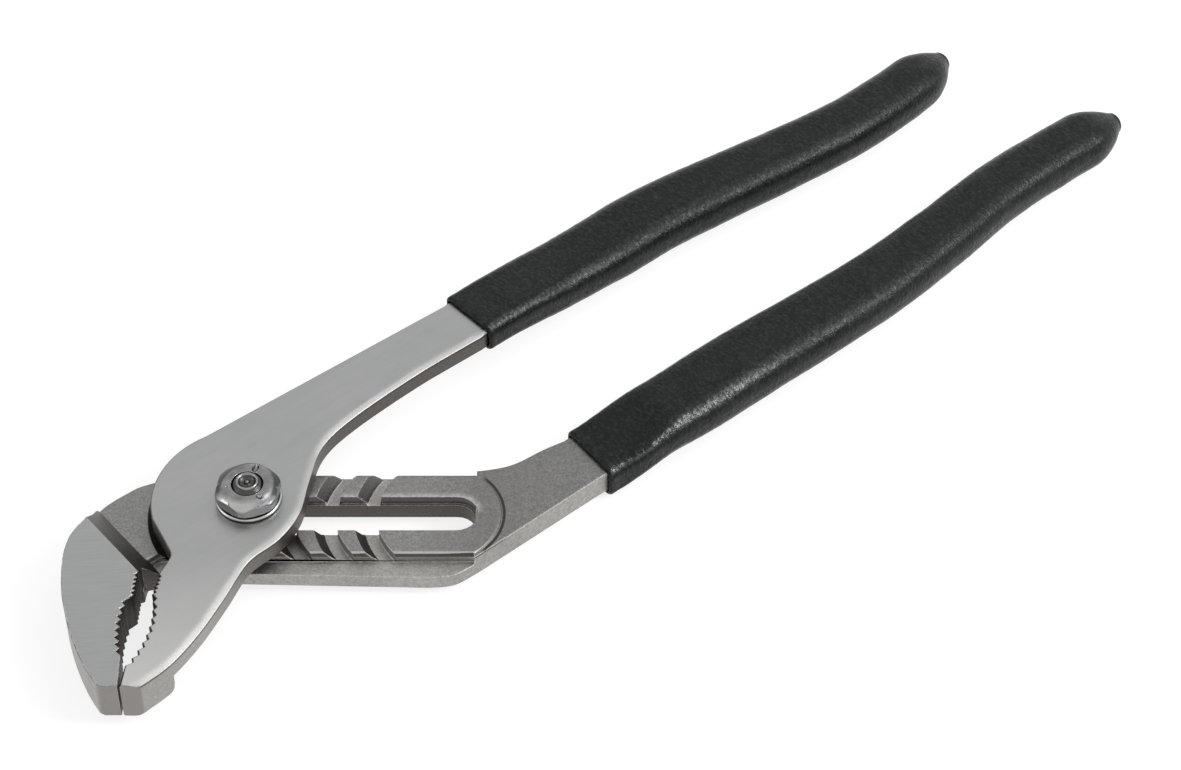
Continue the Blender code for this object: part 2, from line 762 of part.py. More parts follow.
def make_tongue():
    """The arc rib under the upper cheek, beside the far rail while the jaws are shut."""
    inner = GROOVE_RADIUS + GROOVE_CLEARANCE
    outer = GROOVE_RADIUS + GROOVE_FLOOR - GROOVE_CLEARANCE
    foot = BASE_TOP + GROOVE_STEP + TONGUE_FLOOR_GAP
    root = PLATE_BOTTOM + TONGUE_ROOT
    profile = [(inner, foot), (outer, foot), (outer, root), (inner, root)]
    end = TOWARDS_JAWS - math.degrees(math.asin((RAIL_REACH + TONGUE_RAIL_GAP) / inner))
    return ring_sector("tongue", profile, end - TONGUE_SPAN, end)


def make_upper_lever(material):
    lever = prism("upper_blank", upper_outline(), UPPER_NOSE_BOTTOM, PLATE_TOP)

    def rim(middle, flat, wall):
        if wall.x < BACK_FACING or middle.y > UPPER_GRIP_ASIDE:
            return FRONT_ROUND / BACK_ROUND
        return 1.0 if flat.z > 0 else NOSE_ROUND / BACK_ROUND

    round_edges(lever, BACK_ROUND, rim, segments=3)
    flatten_rim(lever, PLATE_TOP)
    boolean(lever, under_relief(), "DIFFERENCE")
    boolean(lever, UPPER.core(), "UNION")
    boolean(lever, make_tongue(), "UNION")
    boolean(lever, bore_cutter("upper_bore", PLATE_BOTTOM, PLATE_TOP), "DIFFERENCE")
    return finish(lever, "upper_lever", material)


def ramp_cutter():
    """A block whose lower face is the slope from the lower jaw's top to its cheek."""
    start, end = Vector(JAW_SHOULDER), Vector(JAW_THROAT)
    line = (end - start).normalized()
    tilt = math.radians(RAMP_ANGLE)
    along_line = Vector((line.x, line.y, 0.0))
    level = Vector((-line.y, line.x, 0.0))
    normal = level * math.sin(tilt) + Vector((0.0, 0.0, math.cos(tilt)))
    work = bmesh.new()
    bmesh.ops.create_cube(work, size=CUTTER_REACH)
    mesh = bpy.data.meshes.new("ramp_cutter")
    work.to_mesh(mesh)
    work.free()
    centre = (start + end) / 2
    axes = Matrix((along_line, normal.cross(along_line), normal)).transposed().to_4x4()
    place = Vector((centre.x, centre.y, PLATE_TOP)) + normal * CUTTER_REACH / 2
    mesh.transform(Matrix.Translation(place) @ axes)
    return mesh_object("ramp_cutter", mesh)


def groove_cutter():
    """One arc groove for each bolt position, centred on that position."""
    floor = BASE_TOP + GROOVE_STEP
    top = RIDGE_TOP + CUT_OVERRUN
    slope = GROOVE_RAMP / (RIDGE_HEIGHT - GROOVE_STEP)
    floor_end = GROOVE_RADIUS + GROOVE_FLOOR
    profile = [
        (GROOVE_RADIUS, floor),
        (floor_end, floor),
        (floor_end + slope * (top - floor), top),
        (GROOVE_RADIUS, top),
    ]
    reach = math.degrees(math.asin(BASE_FAR / GROOVE_RADIUS)) + GROOVE_RUNOUT
    grooves = ring_sector("grooves", profile, TOWARDS_JAWS - reach, TOWARDS_JAWS + reach)
    positions = grooves.modifiers.new("positions", "ARRAY")
    positions.count = POSITIONS
    positions.use_relative_offset = False
    positions.use_constant_offset = True
    positions.constant_offset_displace = (PITCH, 0.0, 0.0)
    return grooves


def make_ridges():
    """The rails on both sides of the slot, with the cheek they run into."""
    ridges = prism("ridges", ridge_outline(), UNDERSIDE + BASE_THICKNESS / 2, RIDGE_TOP)
    round_edges(ridges, RAIL_ROUND, lambda middle, flat, wall: 1.0 if flat.z > 0 else 0.0, segments=3)
    lip_floor = BASE_TOP + SLOT_LIP_STEP
    lip = prism("slot_lip", slot_outline(SLOT_HALF + SLOT_LIP), lip_floor, RIDGE_TOP + CUT_OVERRUN)
    boolean(ridges, lip, "DIFFERENCE")
    boolean(ridges, groove_cutter(), "DIFFERENCE")
    return ridges


def make_lower_lever(material):
    lever = prism("lower_blank", lower_outline(), UNDERSIDE, SHANK_TOP)
    round_edges(lever, SMALL_ROUND, lambda middle, flat, wall: 1.0)
    neck_right = LAST_POSITION + SLOT_HALF
    reach = CUTTER_REACH
    neck_cut = [(-reach, -reach), (neck_right, -reach), (neck_right, reach), (-reach, reach)]
    boolean(lever, prism("neck_cut", neck_cut, BASE_TOP, SHANK_TOP + CUT_OVERRUN), "DIFFERENCE")

    boolean(lever, make_ridges(), "UNION")

    jaw = prism("jaw_block", jaw_outline(), NOSE_BOTTOM, PLATE_TOP)
    round_edges(jaw, SMALL_ROUND, lambda middle, flat, wall: 1.0)
    boolean(jaw, ramp_cutter(), "DIFFERENCE")
    boolean(lever, jaw, "UNION")
    boolean(lever, LOWER.core(), "UNION")

    low, high = UNDERSIDE - CUT_OVERRUN, RIDGE_TOP + CUT_OVERRUN
    boolean(lever, prism("slot", slot_outline(SLOT_HALF), low, high), "DIFFERENCE")
    return finish(lever, "lower_lever", material)


def make_bolt(material):
    bolt = turned("bolt_blank", [
        (0.0, BOLT_TOP),
        (BOLT_RADIUS - BOLT_END_CHAMFER, BOLT_TOP),
        (BOLT_RADIUS, BOLT_TOP - BOLT_END_CHAMFER),
        (BOLT_RADIUS, BOLT_HEAD_THICKNESS),
        (BOLT_HEAD_DIAMETER / 2, BOLT_HEAD_THICKNESS),
        (BOLT_HEAD_DIAMETER / 2, SMALL_ROUND),
        (BOLT_HEAD_DIAMETER / 2 - SMALL_ROUND, 0.0),
        (0.0, 0.0),
    ])
    return finish(bolt, "pivot_bolt", material)


def make_washer(material):
    hole = BOLT_RADIUS + BORE_CLEARANCE
    rim = WASHER_DIAMETER / 2
    edge = WASHER_THICKNESS / 4
    washer = turned("washer_blank", [
        (hole, WASHER_BOTTOM),
        (hole, WASHER_TOP),
        (rim - edge, WASHER_TOP),
        (rim, WASHER_TOP - edge),
        (rim, WASHER_BOTTOM),
        (hole, WASHER_BOTTOM),
    ])
    return finish(washer, "nut_washer", material)


def make_nut(material):
    corner = NUT_ACROSS_FLATS / math.sqrt(3)
    side = FULL_TURN / NUT_SIDES
    first = NUT_TURN + side / 2
    hexagon = arc((0.0, 0.0), corner, first, first + FULL_TURN - side, NUT_SIDES - 1)
    nut = prism("nut_blank", hexagon, NUT_BOTTOM, NUT_TOP)
    face = NUT_FACE_DIAMETER / 2
    drop = (corner - face) * math.tan(math.radians(NUT_CHAMFER_ANGLE))
    chamfers = turned("nut_chamfers", [
        (0.0, NUT_TOP),
        (face, NUT_TOP),
        (corner, NUT_TOP - drop),
        (NUT_SEAT_DIAMETER / 2, NUT_BOTTOM),
        (0.0, NUT_BOTTOM),
    ])
    boolean(nut, chamfers, "INTERSECT")
    boolean(nut, bore_cutter("nut_bore", NUT_BOTTOM, NUT_TOP), "DIFFERENCE")
    return finish(nut, "pivot_nut", material)


def make_grip(handle, material):
    grip = handle.grip()
    boolean(grip, handle.cavity(), "DIFFERENCE")
    return finish(grip, handle.name + "_grip", material)


def pivot_frame(pieces):
    """An empty on the bolt's axis carries all that slides and turns with it."""
    axis = bpy.data.objects.new("pivot_axis", None)
    PARTS.objects.link(axis)
    for piece in pieces:
        piece.parent = axis


def main():
    brushed = new_material("brushed_steel", (0.37, 0.37, 0.37), 0.38, 1.0)
    blasted = new_material("blasted_steel", (0.24, 0.24, 0.235), 0.5, 1.0)
    plated = new_material("plated_steel", (0.45, 0.45, 0.46), 0.22, 1.0)
    bright = new_material("bright_washer_steel", (0.6, 0.6, 0.61), 0.18, 1.0)
    nut_steel = new_material("nut_steel", (0.4, 0.4, 0.41), 0.25, 1.0)
    black = new_material("black_dipped_grip", (0.028, 0.03, 0.032), 0.45, 0.0)
    black_lower = new_material("black_dipped_lower_grip", (0.028, 0.03, 0.032), 0.45, 0.0)

    make_lower_lever(blasted)
    make_grip(LOWER, black_lower)
    pivot_frame([
        make_upper_lever(brushed),
        make_grip(UPPER, black),
        make_bolt(plated),
        make_washer(bright),
        make_nut(nut_steel),
    ])


main()
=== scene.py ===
"""Looks of the water pump pliers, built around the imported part.

The levers keep the part's own shape, with eased edges and ground, blasted and forged
steel. The dipped grips, the bolt, the washer and the staked nut are modelled again in
finer meshes. Lengths are in metres, in the part's frame.
"""
import math

import bmesh
import bpy
from mathutils import Matrix, Vector, noise
from mathutils.bvhtree import BVHTree


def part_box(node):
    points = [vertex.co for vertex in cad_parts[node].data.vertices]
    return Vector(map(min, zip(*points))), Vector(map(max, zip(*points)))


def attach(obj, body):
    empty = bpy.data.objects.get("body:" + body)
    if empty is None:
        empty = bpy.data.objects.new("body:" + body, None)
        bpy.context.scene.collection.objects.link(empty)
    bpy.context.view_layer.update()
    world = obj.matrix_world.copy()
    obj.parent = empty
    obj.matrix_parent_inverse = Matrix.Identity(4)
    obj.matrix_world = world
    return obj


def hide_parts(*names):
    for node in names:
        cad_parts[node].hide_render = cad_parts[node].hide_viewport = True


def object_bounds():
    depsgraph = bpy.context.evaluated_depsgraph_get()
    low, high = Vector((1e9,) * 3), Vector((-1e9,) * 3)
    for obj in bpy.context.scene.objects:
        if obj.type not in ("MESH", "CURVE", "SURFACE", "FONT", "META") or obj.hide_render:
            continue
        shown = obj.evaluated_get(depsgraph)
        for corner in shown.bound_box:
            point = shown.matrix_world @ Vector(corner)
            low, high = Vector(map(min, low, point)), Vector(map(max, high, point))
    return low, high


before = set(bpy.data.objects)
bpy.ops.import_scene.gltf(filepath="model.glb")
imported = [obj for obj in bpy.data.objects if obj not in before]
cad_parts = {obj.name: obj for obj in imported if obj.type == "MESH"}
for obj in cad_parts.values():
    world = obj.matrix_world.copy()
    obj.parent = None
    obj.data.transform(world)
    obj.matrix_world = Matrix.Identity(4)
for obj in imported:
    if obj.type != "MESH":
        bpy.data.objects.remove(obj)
cad_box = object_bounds()

MM = 0.001

# Camera that took the photograph, in a frame of 1181 x 770 pixels
CAMERA_PLACE = (0.07933, -0.50328, 0.59229)
CAMERA_TILT = 43.0
CAMERA_LENS = 100.59
CAMERA_SENSOR = 36.0

# Softboxes: name, place, size and radiance of the face; all of them look at one point
SOFTBOXES = [
    ("key_softbox", (0.78, -0.05, 0.58), 0.6, 3.6),
    ("glint_lamp", (0.80, -0.13, 0.50), 0.12, 40.0),
    ("top_softbox", (0.42, 0.28, 0.86), 0.36, 2.8),
    ("left_softbox", (-0.8, -0.1, 0.5), 0.4, 1.8),
]
LAMP_TARGET = (0.06, 0.03, 0.0)

# Floor and surroundings: the light they give the object, and the white that the camera sees
FLOOR_REACH = 4.0
FLOOR_DROP = 0.2 * MM
FLOOR_COLOUR = (0.32, 0.32, 0.32, 1.0)
FLOOR_ROUGHNESS = 0.9
FLOOR_GLOW = 0.78
SKY_LIGHT = 0.5
SKY_SEEN = 1.0
WHITE = (1.0, 1.0, 1.0, 1.0)

# Mesh finishing
WELD = 0.001 * MM
SLIVER = 0.02 * MM
FLAT_ANGLE = math.radians(1.0)
EASE_ANGLE = math.radians(33.0)
FLAT_WEIGHT = 80
LEVER_EASE = 0.1 * MM
SMALL_EASE = 0.08 * MM
TURN_STEPS = 96

# Handles. Each starts at its grip's mouth and bows to its left by share of its length. Its steel goes
# from the shank (width, bottom, top) to the hand's section over the rise, and is widest at the swell.
UPPER_HANDLE = {
    "start": (49.4 * MM, 58.7 * MM),
    "length": 158.8 * MM,
    "angle": 39.2,
    "bow": [
        (0.0, 0.0),
        (0.17, 1.9 * MM),
        (0.29, 2.1 * MM),
        (0.41, 2.0 * MM),
        (0.65, -1.9 * MM),
        (0.77, -3.3 * MM),
        (0.89, -2.4 * MM),
        (1.0, 0.0),
    ],
    "rise": 36.0 * MM,
    "swell_at": 30.0 * MM,
    "swell_width": 16.7 * MM,
    "shank": (13.9 * MM, 8.95 * MM, 14.05 * MM),
}
LOWER_HANDLE = {
    "start": (78.9 * MM, 18.5 * MM),
    "length": 179.8 * MM,
    "angle": 40.2,
    "bow": [
        (0.0, 0.0),
        (0.15, -1.5 * MM),
        (0.27, -1.7 * MM),
        (0.4, -2.4 * MM),
        (0.52, -2.5 * MM),
        (0.65, -0.7 * MM),
        (0.77, 1.6 * MM),
        (0.89, 1.6 * MM),
        (1.0, 0.7 * MM),
    ],
    "rise": 22.0 * MM,
    "swell_at": 15.0 * MM,
    "swell_width": 17.3 * MM,
    "shank": (14.7 * MM, 2.0 * MM, 8.35 * MM),
}
HANDLE_END_WIDTH = 12.6 * MM
HAND_THICKNESS = 9.5 * MM
HAND_MIDDLE = 8.025 * MM
HAND_ROUND = 3.8 * MM
SHANK_ROUND = 0.5 * MM
PATH_STEPS = 40

# Dipped skin: its thickness at the mouth, where the handle has swollen, and in the hand from there on
GRIP_GAP = 0.3 * MM
MOUTH_WALL = 1.3 * MM
SWELL_WALL = 0.65 * MM
GRIP_WALL = 1.2 * MM
WALL_GROWTH = 25.0 * MM
SHOULDER_ROUND = 3.1 * MM

# Bead round a grip's mouth: share of its length, and how far outside the steel it stands
GRIP_BEAD_LENGTH = 2.2 * MM
GRIP_BEAD = [
    (0.04, 0.45 * MM),
    (0.0, 0.7 * MM),
    (0.04, 0.98 * MM),
    (0.13, 1.18 * MM),
    (0.26, 1.3 * MM),
    (0.42, 1.34 * MM),
    (0.6, 1.33 * MM),
    (0.8, 1.31 * MM),
]

# Drip end of a grip
GRIP_TIP_LENGTH = 12.0 * MM
GRIP_NUB = 1.5 * MM
GRIP_NUB_RADIUS = 2.9 * MM
CORE_INTO_TIP = 1.5 * MM
TIP_BLEND = 2.6 * MM
TIP_REACH = 0.998
TIP_STEPS = 40

# Steps of a grip's rings, and the most of a half side that a corner takes
GRIP_STEP = 0.55 * MM
BORE_STEP = 8.0 * MM
RING_CORNER = 9
RING_LONG = 12
RING_SHORT = 3
CORNER_SHARE = 0.98

# Unevenness of the dipped skin
SKIN_UNEVEN = 0.1 * MM
MOUTH_UNEVEN = 0.04 * MM
SWELL_SIZE = 7.0 * MM
WRINKLE_SIZE = 1.3 * MM
WRINKLE_LENGTH = 3.5 * MM
WRINKLE_SHARE = 0.5

# Bolt; its dished end is given by radius and drop below the top, its head by inset from the rim and height
BOLT_RADIUS = 4.0 * MM
BOLT_END = [
    (0.0, 0.3 * MM),
    (0.28 * MM, 0.33 * MM),
    (0.45 * MM, 0.5 * MM),
    (0.55 * MM, 0.95 * MM),
    (0.9 * MM, 1.1 * MM),
    (1.4 * MM, 1.05 * MM),
    (1.8 * MM, 0.75 * MM),
    (2.05 * MM, 0.3 * MM),
    (2.2 * MM, 0.05 * MM),
    (2.36 * MM, 0.0),
    (2.52 * MM, 0.06 * MM),
    (2.64 * MM, 0.3 * MM),
    (2.7 * MM, 0.75 * MM),
    (2.84 * MM, 0.86 * MM),
    (3.05 * MM, 0.86 * MM),
    (3.2 * MM, 0.95 * MM),
    (3.26 * MM, 1.15 * MM),
    (3.42 * MM, 1.25 * MM),
    (3.5 * MM, 1.4 * MM),
    (3.5 * MM, 2.2 * MM),
]
BOLT_HEAD_TOP = 1.7 * MM
BOLT_HEAD_EDGE = [
    (0.35 * MM, BOLT_HEAD_TOP),
    (0.1 * MM, BOLT_HEAD_TOP - 0.1 * MM),
    (0.0, BOLT_HEAD_TOP - 0.35 * MM),
    (0.0, 0.75 * MM),
    (0.12 * MM, 0.4 * MM),
    (0.45 * MM, 0.12 * MM),
    (0.9 * MM, 0.0),
]
THREAD_PITCH = 1.25 * MM
THREAD_DEPTH = 0.5 * MM
THREAD_CREST = (0.05 * MM, 0.2 * MM)
THREAD_INTO_NUT = 1.3 * MM

# Washer: its edges above and below, by inset from the rim and distance from the face
WASHER_HOLE_EASE = 0.1 * MM
WASHER_TOP_EDGE = [
    (0.42 * MM, 0.0),
    (0.18 * MM, 0.08 * MM),
    (0.03 * MM, 0.25 * MM),
    (0.0, 0.45 * MM),
]
WASHER_UNDER_EDGE = [
    (0.08 * MM, 0.08 * MM),
    (0.25 * MM, 0.0),
]

# Nut; its domed top is given by radius and drop below its face
NUT_ACROSS_FLATS = 14.3 * MM
NUT_OUTSIDE_RADIUS = 7.8 * MM
NUT_SEAT_RADIUS = 7.2 * MM
NUT_SEAT_CHAMFER = 0.5 * MM
NUT_TURN = -8.0
NUT_BORE = 4.15 * MM
NUT_MOUTH = 3.75 * MM
NUT_MOUTH_LIP = 0.5 * MM
NUT_BORE_DROP = 1.0 * MM
NUT_DOME = [
    (4.3 * MM, 0.0),
    (5.1 * MM, 0.1 * MM),
    (5.9 * MM, 0.32 * MM),
    (6.6 * MM, 0.66 * MM),
    (7.15 * MM, 1.04 * MM),
    (7.5 * MM, 1.36 * MM),
    (NUT_OUTSIDE_RADIUS, 1.75 * MM),
]

# Stakes that lock the nut: plan angle, middle radius, length, width and depth
STAKES = [
    (72.0, 5.2 * MM, 3.4 * MM, 1.6 * MM, 0.8 * MM),
    (192.0, 4.6 * MM, 1.2 * MM, 0.5 * MM, 0.35 * MM),
    (308.0, 4.8 * MM, 1.8 * MM, 1.3 * MM, 0.6 * MM),
]
STAKE_TILT = 12.0

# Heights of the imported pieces
PLATE_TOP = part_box("upper_lever")[1].z
NUT_LOW, NUT_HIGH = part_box("pivot_nut")
WASHER_LOW, WASHER_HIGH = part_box("nut_washer")
BOLT_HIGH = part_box("pivot_bolt")[1]

# Places on the levers where one finish changes to another; a pair is the start and end of a change
NOSE_Y = -55.0 * MM
NOSE_CHANGE = (NOSE_Y + 0.6 * MM, NOSE_Y + 0.3 * MM)
JAW_WALL_CHANGE = (-8.0 * MM, -38.0 * MM)
JAW_TOP_CHANGE = (-16.0 * MM, -52.0 * MM)
JAW_THROAT_Y = -21.5 * MM
THROAT_LEFT, THROAT_RIGHT = -29.0 * MM, -8.0 * MM
THROAT_NEAR, THROAT_FAR = JAW_THROAT_Y - 8.0 * MM, JAW_THROAT_Y + 5.0 * MM
THROAT_SOFT = 2.0 * MM
JAW_RAMP_CHANGE = (-8.0 * MM, -11.0 * MM)
JAW_RAMP_FADE = (2.0 * MM, -17.0 * MM)
BACK_DROP = 0.7 * MM
RIM_SHADE_CHANGE = (PLATE_TOP - BACK_DROP - 0.7 * MM, PLATE_TOP - BACK_DROP - 0.35 * MM)
NECK_CHANGE = (60.0 * MM, 59.0 * MM)
RAIL_FADE = (54.0 * MM, 38.0 * MM)
NECK_END = 44.0 * MM
NECK_END_RADIUS = 15.2 * MM
NECK_STEP_CHANGE = (54.0 * MM, 55.0 * MM)
SHANK_TOP = LOWER_HANDLE["shank"][2]
LEDGE_TOP = 6.05 * MM
RIDGE_TOP = 8.65 * MM
LIP_TOP = 6.35 * MM
SLOT_HALF = 4.5 * MM
SLOT_END = 48.0 * MM
FAR_RIM_X = (2.0 * MM, 4.0 * MM)
FAR_RIM_Y = (0.0, 2.0 * MM)

# Brushing: its plan directions in degrees, and its scales along and across
UPPER_BRUSH_ANGLE = 38.0
JAW_BRUSH_ANGLE = 6.0
BRUSH_ALONG = 150.0
BRUSH_ACROSS = 3000.0

# Scales of the streaks on the tooth faces, along X, Y and Z
TOOTH_STREAKS = (1100.0, 1100.0, 90.0)

# How far edge wear and painted glints reach from an edge, and how high the grain stands
UPPER_EDGE_REACH = 0.3 * MM
LOWER_EDGE_REACH = 0.35 * MM
PLATED_EDGE_REACH = 0.18 * MM
BRUSHED_RELIEF = 0.006 * MM
BLASTED_RELIEF = 0.03 * MM
PLATED_RELIEF = 0.006 * MM
SKIN_RELIEF = 0.17 * MM

# Roughness of the plating, where it is smoothest, and how much scuffs add
BOLT_ROUGHNESS = 0.2
WASHER_ROUGHNESS = 0.15
NUT_ROUGHNESS = 0.16
SCUFF_ROUGHNESS = 0.12
SCUFF_ANGLE = 25.0

# Grain of the grips' skin, and the gloss on their near shoulders: where the mouths lie along the
# handles, how far from there the gloss is full and gone, and how strong it is
SKIN_ANGLE = 40.0
MOUTH_ALONG = 72.0 * MM
GLOSS_FULL = 12.0 * MM
GLOSS_GONE = 60.0 * MM
UPPER_GLOSS = 0.3
LOWER_GLOSS = 1.0

# Painted shade on the fasteners: within a radius of the bolt's axis, and below a height
BOLT_SHADE_RADIUS = 3.6 * MM
BOLT_SHADE_TOP = BOLT_HIGH.z - 0.32 * MM
WASHER_SHADE_RADIUS = 7.55 * MM
HOLLOW_REACH = 2.2 * MM

# Colours as linear values; a pair is the dark and the light of a mottled finish, or the ends of a fade
# Painted shade on the tooth faces between the jaws
TOOTH_SHADE = ((0.034, 0.030, 0.028), (0.085, 0.078, 0.073))
NOSE_STEEL = (0.235, 0.222, 0.212)
UPPER_GROUND = ((0.332, 0.337, 0.337), (0.368, 0.368, 0.364))
UPPER_CLOUD = (0.295, 0.30, 0.305)
UPPER_JAW_GROUND = (0.52, 0.52, 0.51)
# Walls by the neck: dark forge scale with painted shade; the jaw's walls are lighter
UPPER_NECK_WALL = ((0.088, 0.079, 0.074), (0.150, 0.138, 0.130))
UPPER_JAW_WALL = ((0.285, 0.275, 0.262), (0.42, 0.407, 0.389))
UPPER_RIM = (0.36, 0.353, 0.342)
UPPER_RIM_SHADE = (0.045, 0.042, 0.040)
# Bright edges: worn bare steel with painted glints
UPPER_EDGE_WEAR_AND_GLINT = (0.70, 0.695, 0.68)
LOWER_GROUND = ((0.312, 0.317, 0.317), (0.345, 0.345, 0.345))
BLASTED = ((0.115, 0.114, 0.112), (0.235, 0.233, 0.229))
BLASTED_RAILS = ((0.155, 0.155, 0.154), (0.315, 0.314, 0.310))
BLASTED_WALL = ((0.29, 0.281, 0.268), (0.49, 0.478, 0.46))
BLASTED_SPECK = (0.13, 0.127, 0.122)
BLASTED_STAIN = (0.17, 0.15, 0.132)
# Painted shade on the ramps of the grooves; the jaw's ramp fades darker towards -Y
GROOVE_SHADE = ((0.036, 0.035, 0.034), (0.070, 0.067, 0.064))
JAW_RAMP_SHADE = ((0.17, 0.165, 0.158), (0.065, 0.061, 0.058))
# Painted shade in the slot and on the throat wall behind the jaw
SLOT_SHADE_BROWN = ((0.062, 0.054, 0.051), (0.105, 0.094, 0.088))
# Painted shade band on the lip's wall and floor round the slot
LIP_BAND_SHADE = ((0.085, 0.082, 0.079), (0.150, 0.146, 0.142))
LIP_SHADE = (0.035, 0.033, 0.032)
# Painted highlight on the lip's rounded upper edge
LIP_HIGHLIGHT = (0.46, 0.455, 0.445)
# Painted highlight on the far rail's rim by the slot
FAR_RIM_HIGHLIGHT = ((0.30, 0.30, 0.295), (0.46, 0.457, 0.45))
# Painted shadow line round the neck's end at the shank
STEP_SHADOW = (0.030, 0.029, 0.028)
# Bright edges: worn bare steel with painted glints
LOWER_EDGE_WEAR_AND_GLINT = (0.74, 0.735, 0.72)
GRIP_BLACK = ((0.0042, 0.0049, 0.0053), (0.0080, 0.0088, 0.0092))
GRIP_GREY = (0.016, 0.017, 0.017)
BOLT_PLATING = ((0.20, 0.20, 0.202), (0.31, 0.31, 0.31))
WASHER_PLATING = ((0.42, 0.42, 0.43), (0.54, 0.54, 0.54))
NUT_PLATING = ((0.17, 0.172, 0.175), (0.27, 0.27, 0.27))
# Painted shade on the nut's left and right slopes, painted sheen on its front top and flats
SLOPE_SHADE = (0.05, 0.05, 0.051)
TOP_FRONT_SHEEN = (0.46, 0.46, 0.455)
FLAT_FRONT_SHEEN = (0.60, 0.59, 0.57)
# Painted shade in the fasteners' hollows, on the bolt's flank and dish, and inside the washer
FASTENER_SHADE = (0.05, 0.049, 0.047)
# Bright edges: worn bare plating with painted glints
PLATED_EDGE_WEAR_AND_GLINT = (0.85, 0.85, 0.84)


def heading(angle):
    """Plan direction at an angle in degrees from +X."""
    return Vector((math.cos(math.radians(angle)), math.sin(math.radians(angle))))


# Node trees

class Finish:
    """A procedural material under construction, with short calls for the nodes it uses."""

    def __init__(self, name, metallic=0.0):
        self.material = bpy.data.materials.new(name)
        self.material.use_nodes = True
        self.tree = self.material.node_tree
        self.shader = self.tree.nodes["Principled BSDF"]
        self.shader.inputs["Metallic"].default_value = metallic
        coordinates = self.add("TexCoord")
        self.place = coordinates.outputs["Object"]
        self.facing = coordinates.outputs["Normal"]

    def add(self, kind, settings=None, **inputs):
        """A new node; an input is a socket to link or a plain value."""
        node = self.tree.nodes.new("ShaderNode" + kind)
        for key, value in (settings or {}).items():
            setattr(node, key, value)
        for key, value in inputs.items():
            self.put(node.inputs[key.replace("_", " ")], value)
        return node

    def put(self, socket, value):
        if isinstance(value, bpy.types.NodeSocket):
            self.tree.links.new(value, socket)
        else:
            socket.default_value = value

    def math(self, operation, *values):
        node = self.tree.nodes.new("ShaderNodeMath")
        node.operation = operation
        for socket, value in zip(node.inputs, values):
            self.put(socket, value)
        return node.outputs[0]

    def spread(self, value, low, high, to_low=0.0, to_high=1.0):
        """A value carried from one range to another, held at its ends."""
        node = self.add("MapRange", Value=value, From_Min=low, From_Max=high)
        self.put(node.inputs["To Min"], to_low)
        self.put(node.inputs["To Max"], to_high)
        return node.outputs["Result"]

    def stretched(self, angle, along, across):
        """Coordinates turned in plan, with unlike scales along and across the grain."""
        turned = self.add(
            "Mapping", Vector=self.place, Rotation=(0.0, 0.0, math.radians(-angle))
        ).outputs[0]
        return self.add("Mapping", Vector=turned, Scale=(along, across, across)).outputs[0]

    def noise(self, vector=None, scale=1.0, detail=2.0, roughness=0.5, distortion=0.0):
        node = self.add("TexNoise", Scale=scale, Detail=detail, Roughness=roughness)
        self.put(node.inputs["Distortion"], distortion)
        self.put(node.inputs["Vector"], self.place if vector is None else vector)
        return node.outputs["Fac"]

    def mix(self, share, first, second):
        node = self.add("Mix", {"data_type": "RGBA"})
        self.put(node.inputs[0], share)
        for socket, colour in ((node.inputs[6], first), (node.inputs[7], second)):
            self.put(socket, (*colour, 1.0) if isinstance(colour, tuple) else colour)
        return node.outputs[2]

    def axes(self, vector):
        """The three parts of a vector."""
        split = self.add("SeparateXYZ", Vector=vector)
        return split.outputs["X"], split.outputs["Y"], split.outputs["Z"]

    def both(self, first, *others):
        """A product of masks and shares."""
        for other in others:
            first = self.math("MULTIPLY", first, other)
        return first

    def outside(self, mask):
        """A mask's opposite."""
        return self.math("SUBTRACT", 1.0, mask)

    def between(self, share, first, second):
        """A number that goes from the first to the second as the share goes from 0 to 1."""
        return self.math("ADD", self.both(first, self.outside(share)), self.both(second, share))

    def inside(self, value, low, high, soft):
        """One between two bounds, with soft ends inside them."""
        return self.both(self.spread(value, low, low + soft), self.spread(value, high, high - soft))

    def plan_distance(self, x, y):
        """How far a place lies from the point that its X and Y are counted from."""
        return self.math("SQRT", self.math("ADD", self.both(x, x), self.both(y, y)))

    def mottled(self, pattern, dark, light, low=0.3, high=0.7):
        """Two colours mixed by a noise pattern."""
        return self.mix(self.spread(pattern, low, high), dark, light)

    def layered(self, colour, *coats):
        """A colour under coats, each given as a mask, the most that it covers and its colour."""
        for mask, cover, coat in coats:
            colour = self.mix(self.both(mask, cover), colour, coat)
        return colour

    def brushing(self, angle):
        """Fine brush lines at a plan angle."""
        lines = self.stretched(angle, BRUSH_ALONG, BRUSH_ACROSS)
        return self.noise(lines, detail=3.0, roughness=0.6)

    def tooth_shade(self):
        """Painted shade on the tooth faces, where the jaws face each other: dark brown, faintly streaked
        from top to bottom.
        """
        drawn = self.add("Mapping", Vector=self.place, Scale=TOOTH_STREAKS).outputs[0]
        return self.mottled(self.noise(drawn, detail=3.0), *TOOTH_SHADE)

    def hollow(self, reach):
        """One deep in the piece's own hollows, nought in the open."""
        node = self.add("AmbientOcclusion", {"samples": 8, "only_local": True}, Distance=reach)
        return self.spread(node.outputs["AO"], 0.85, 0.35)

    def edge_wear_and_glint(self, radius):
        """A mask that is one at sharp edges and nought on the flats, and the eased normal."""
        eased = self.add("Bevel", {"samples": 6}, Radius=radius).outputs[0]
        true = self.add("NewGeometry").outputs["Normal"]
        dot = self.add("VectorMath", {"operation": "DOT_PRODUCT"})
        self.put(dot.inputs[0], eased)
        self.put(dot.inputs[1], true)
        return self.spread(dot.outputs["Value"], 0.99, 0.9), eased

    def bump(self, height, distance, normal=None):
        node = self.add("Bump", Height=height, Distance=distance)
        if normal is not None:
            self.put(node.inputs["Normal"], normal)
        return node.outputs["Normal"]

    def done(self, colour, roughness, normal):
        self.put(self.shader.inputs["Base Color"], colour)
        self.put(self.shader.inputs["Roughness"], roughness)
        self.put(self.shader.inputs["Normal"], normal)
        return self.material


# Materials

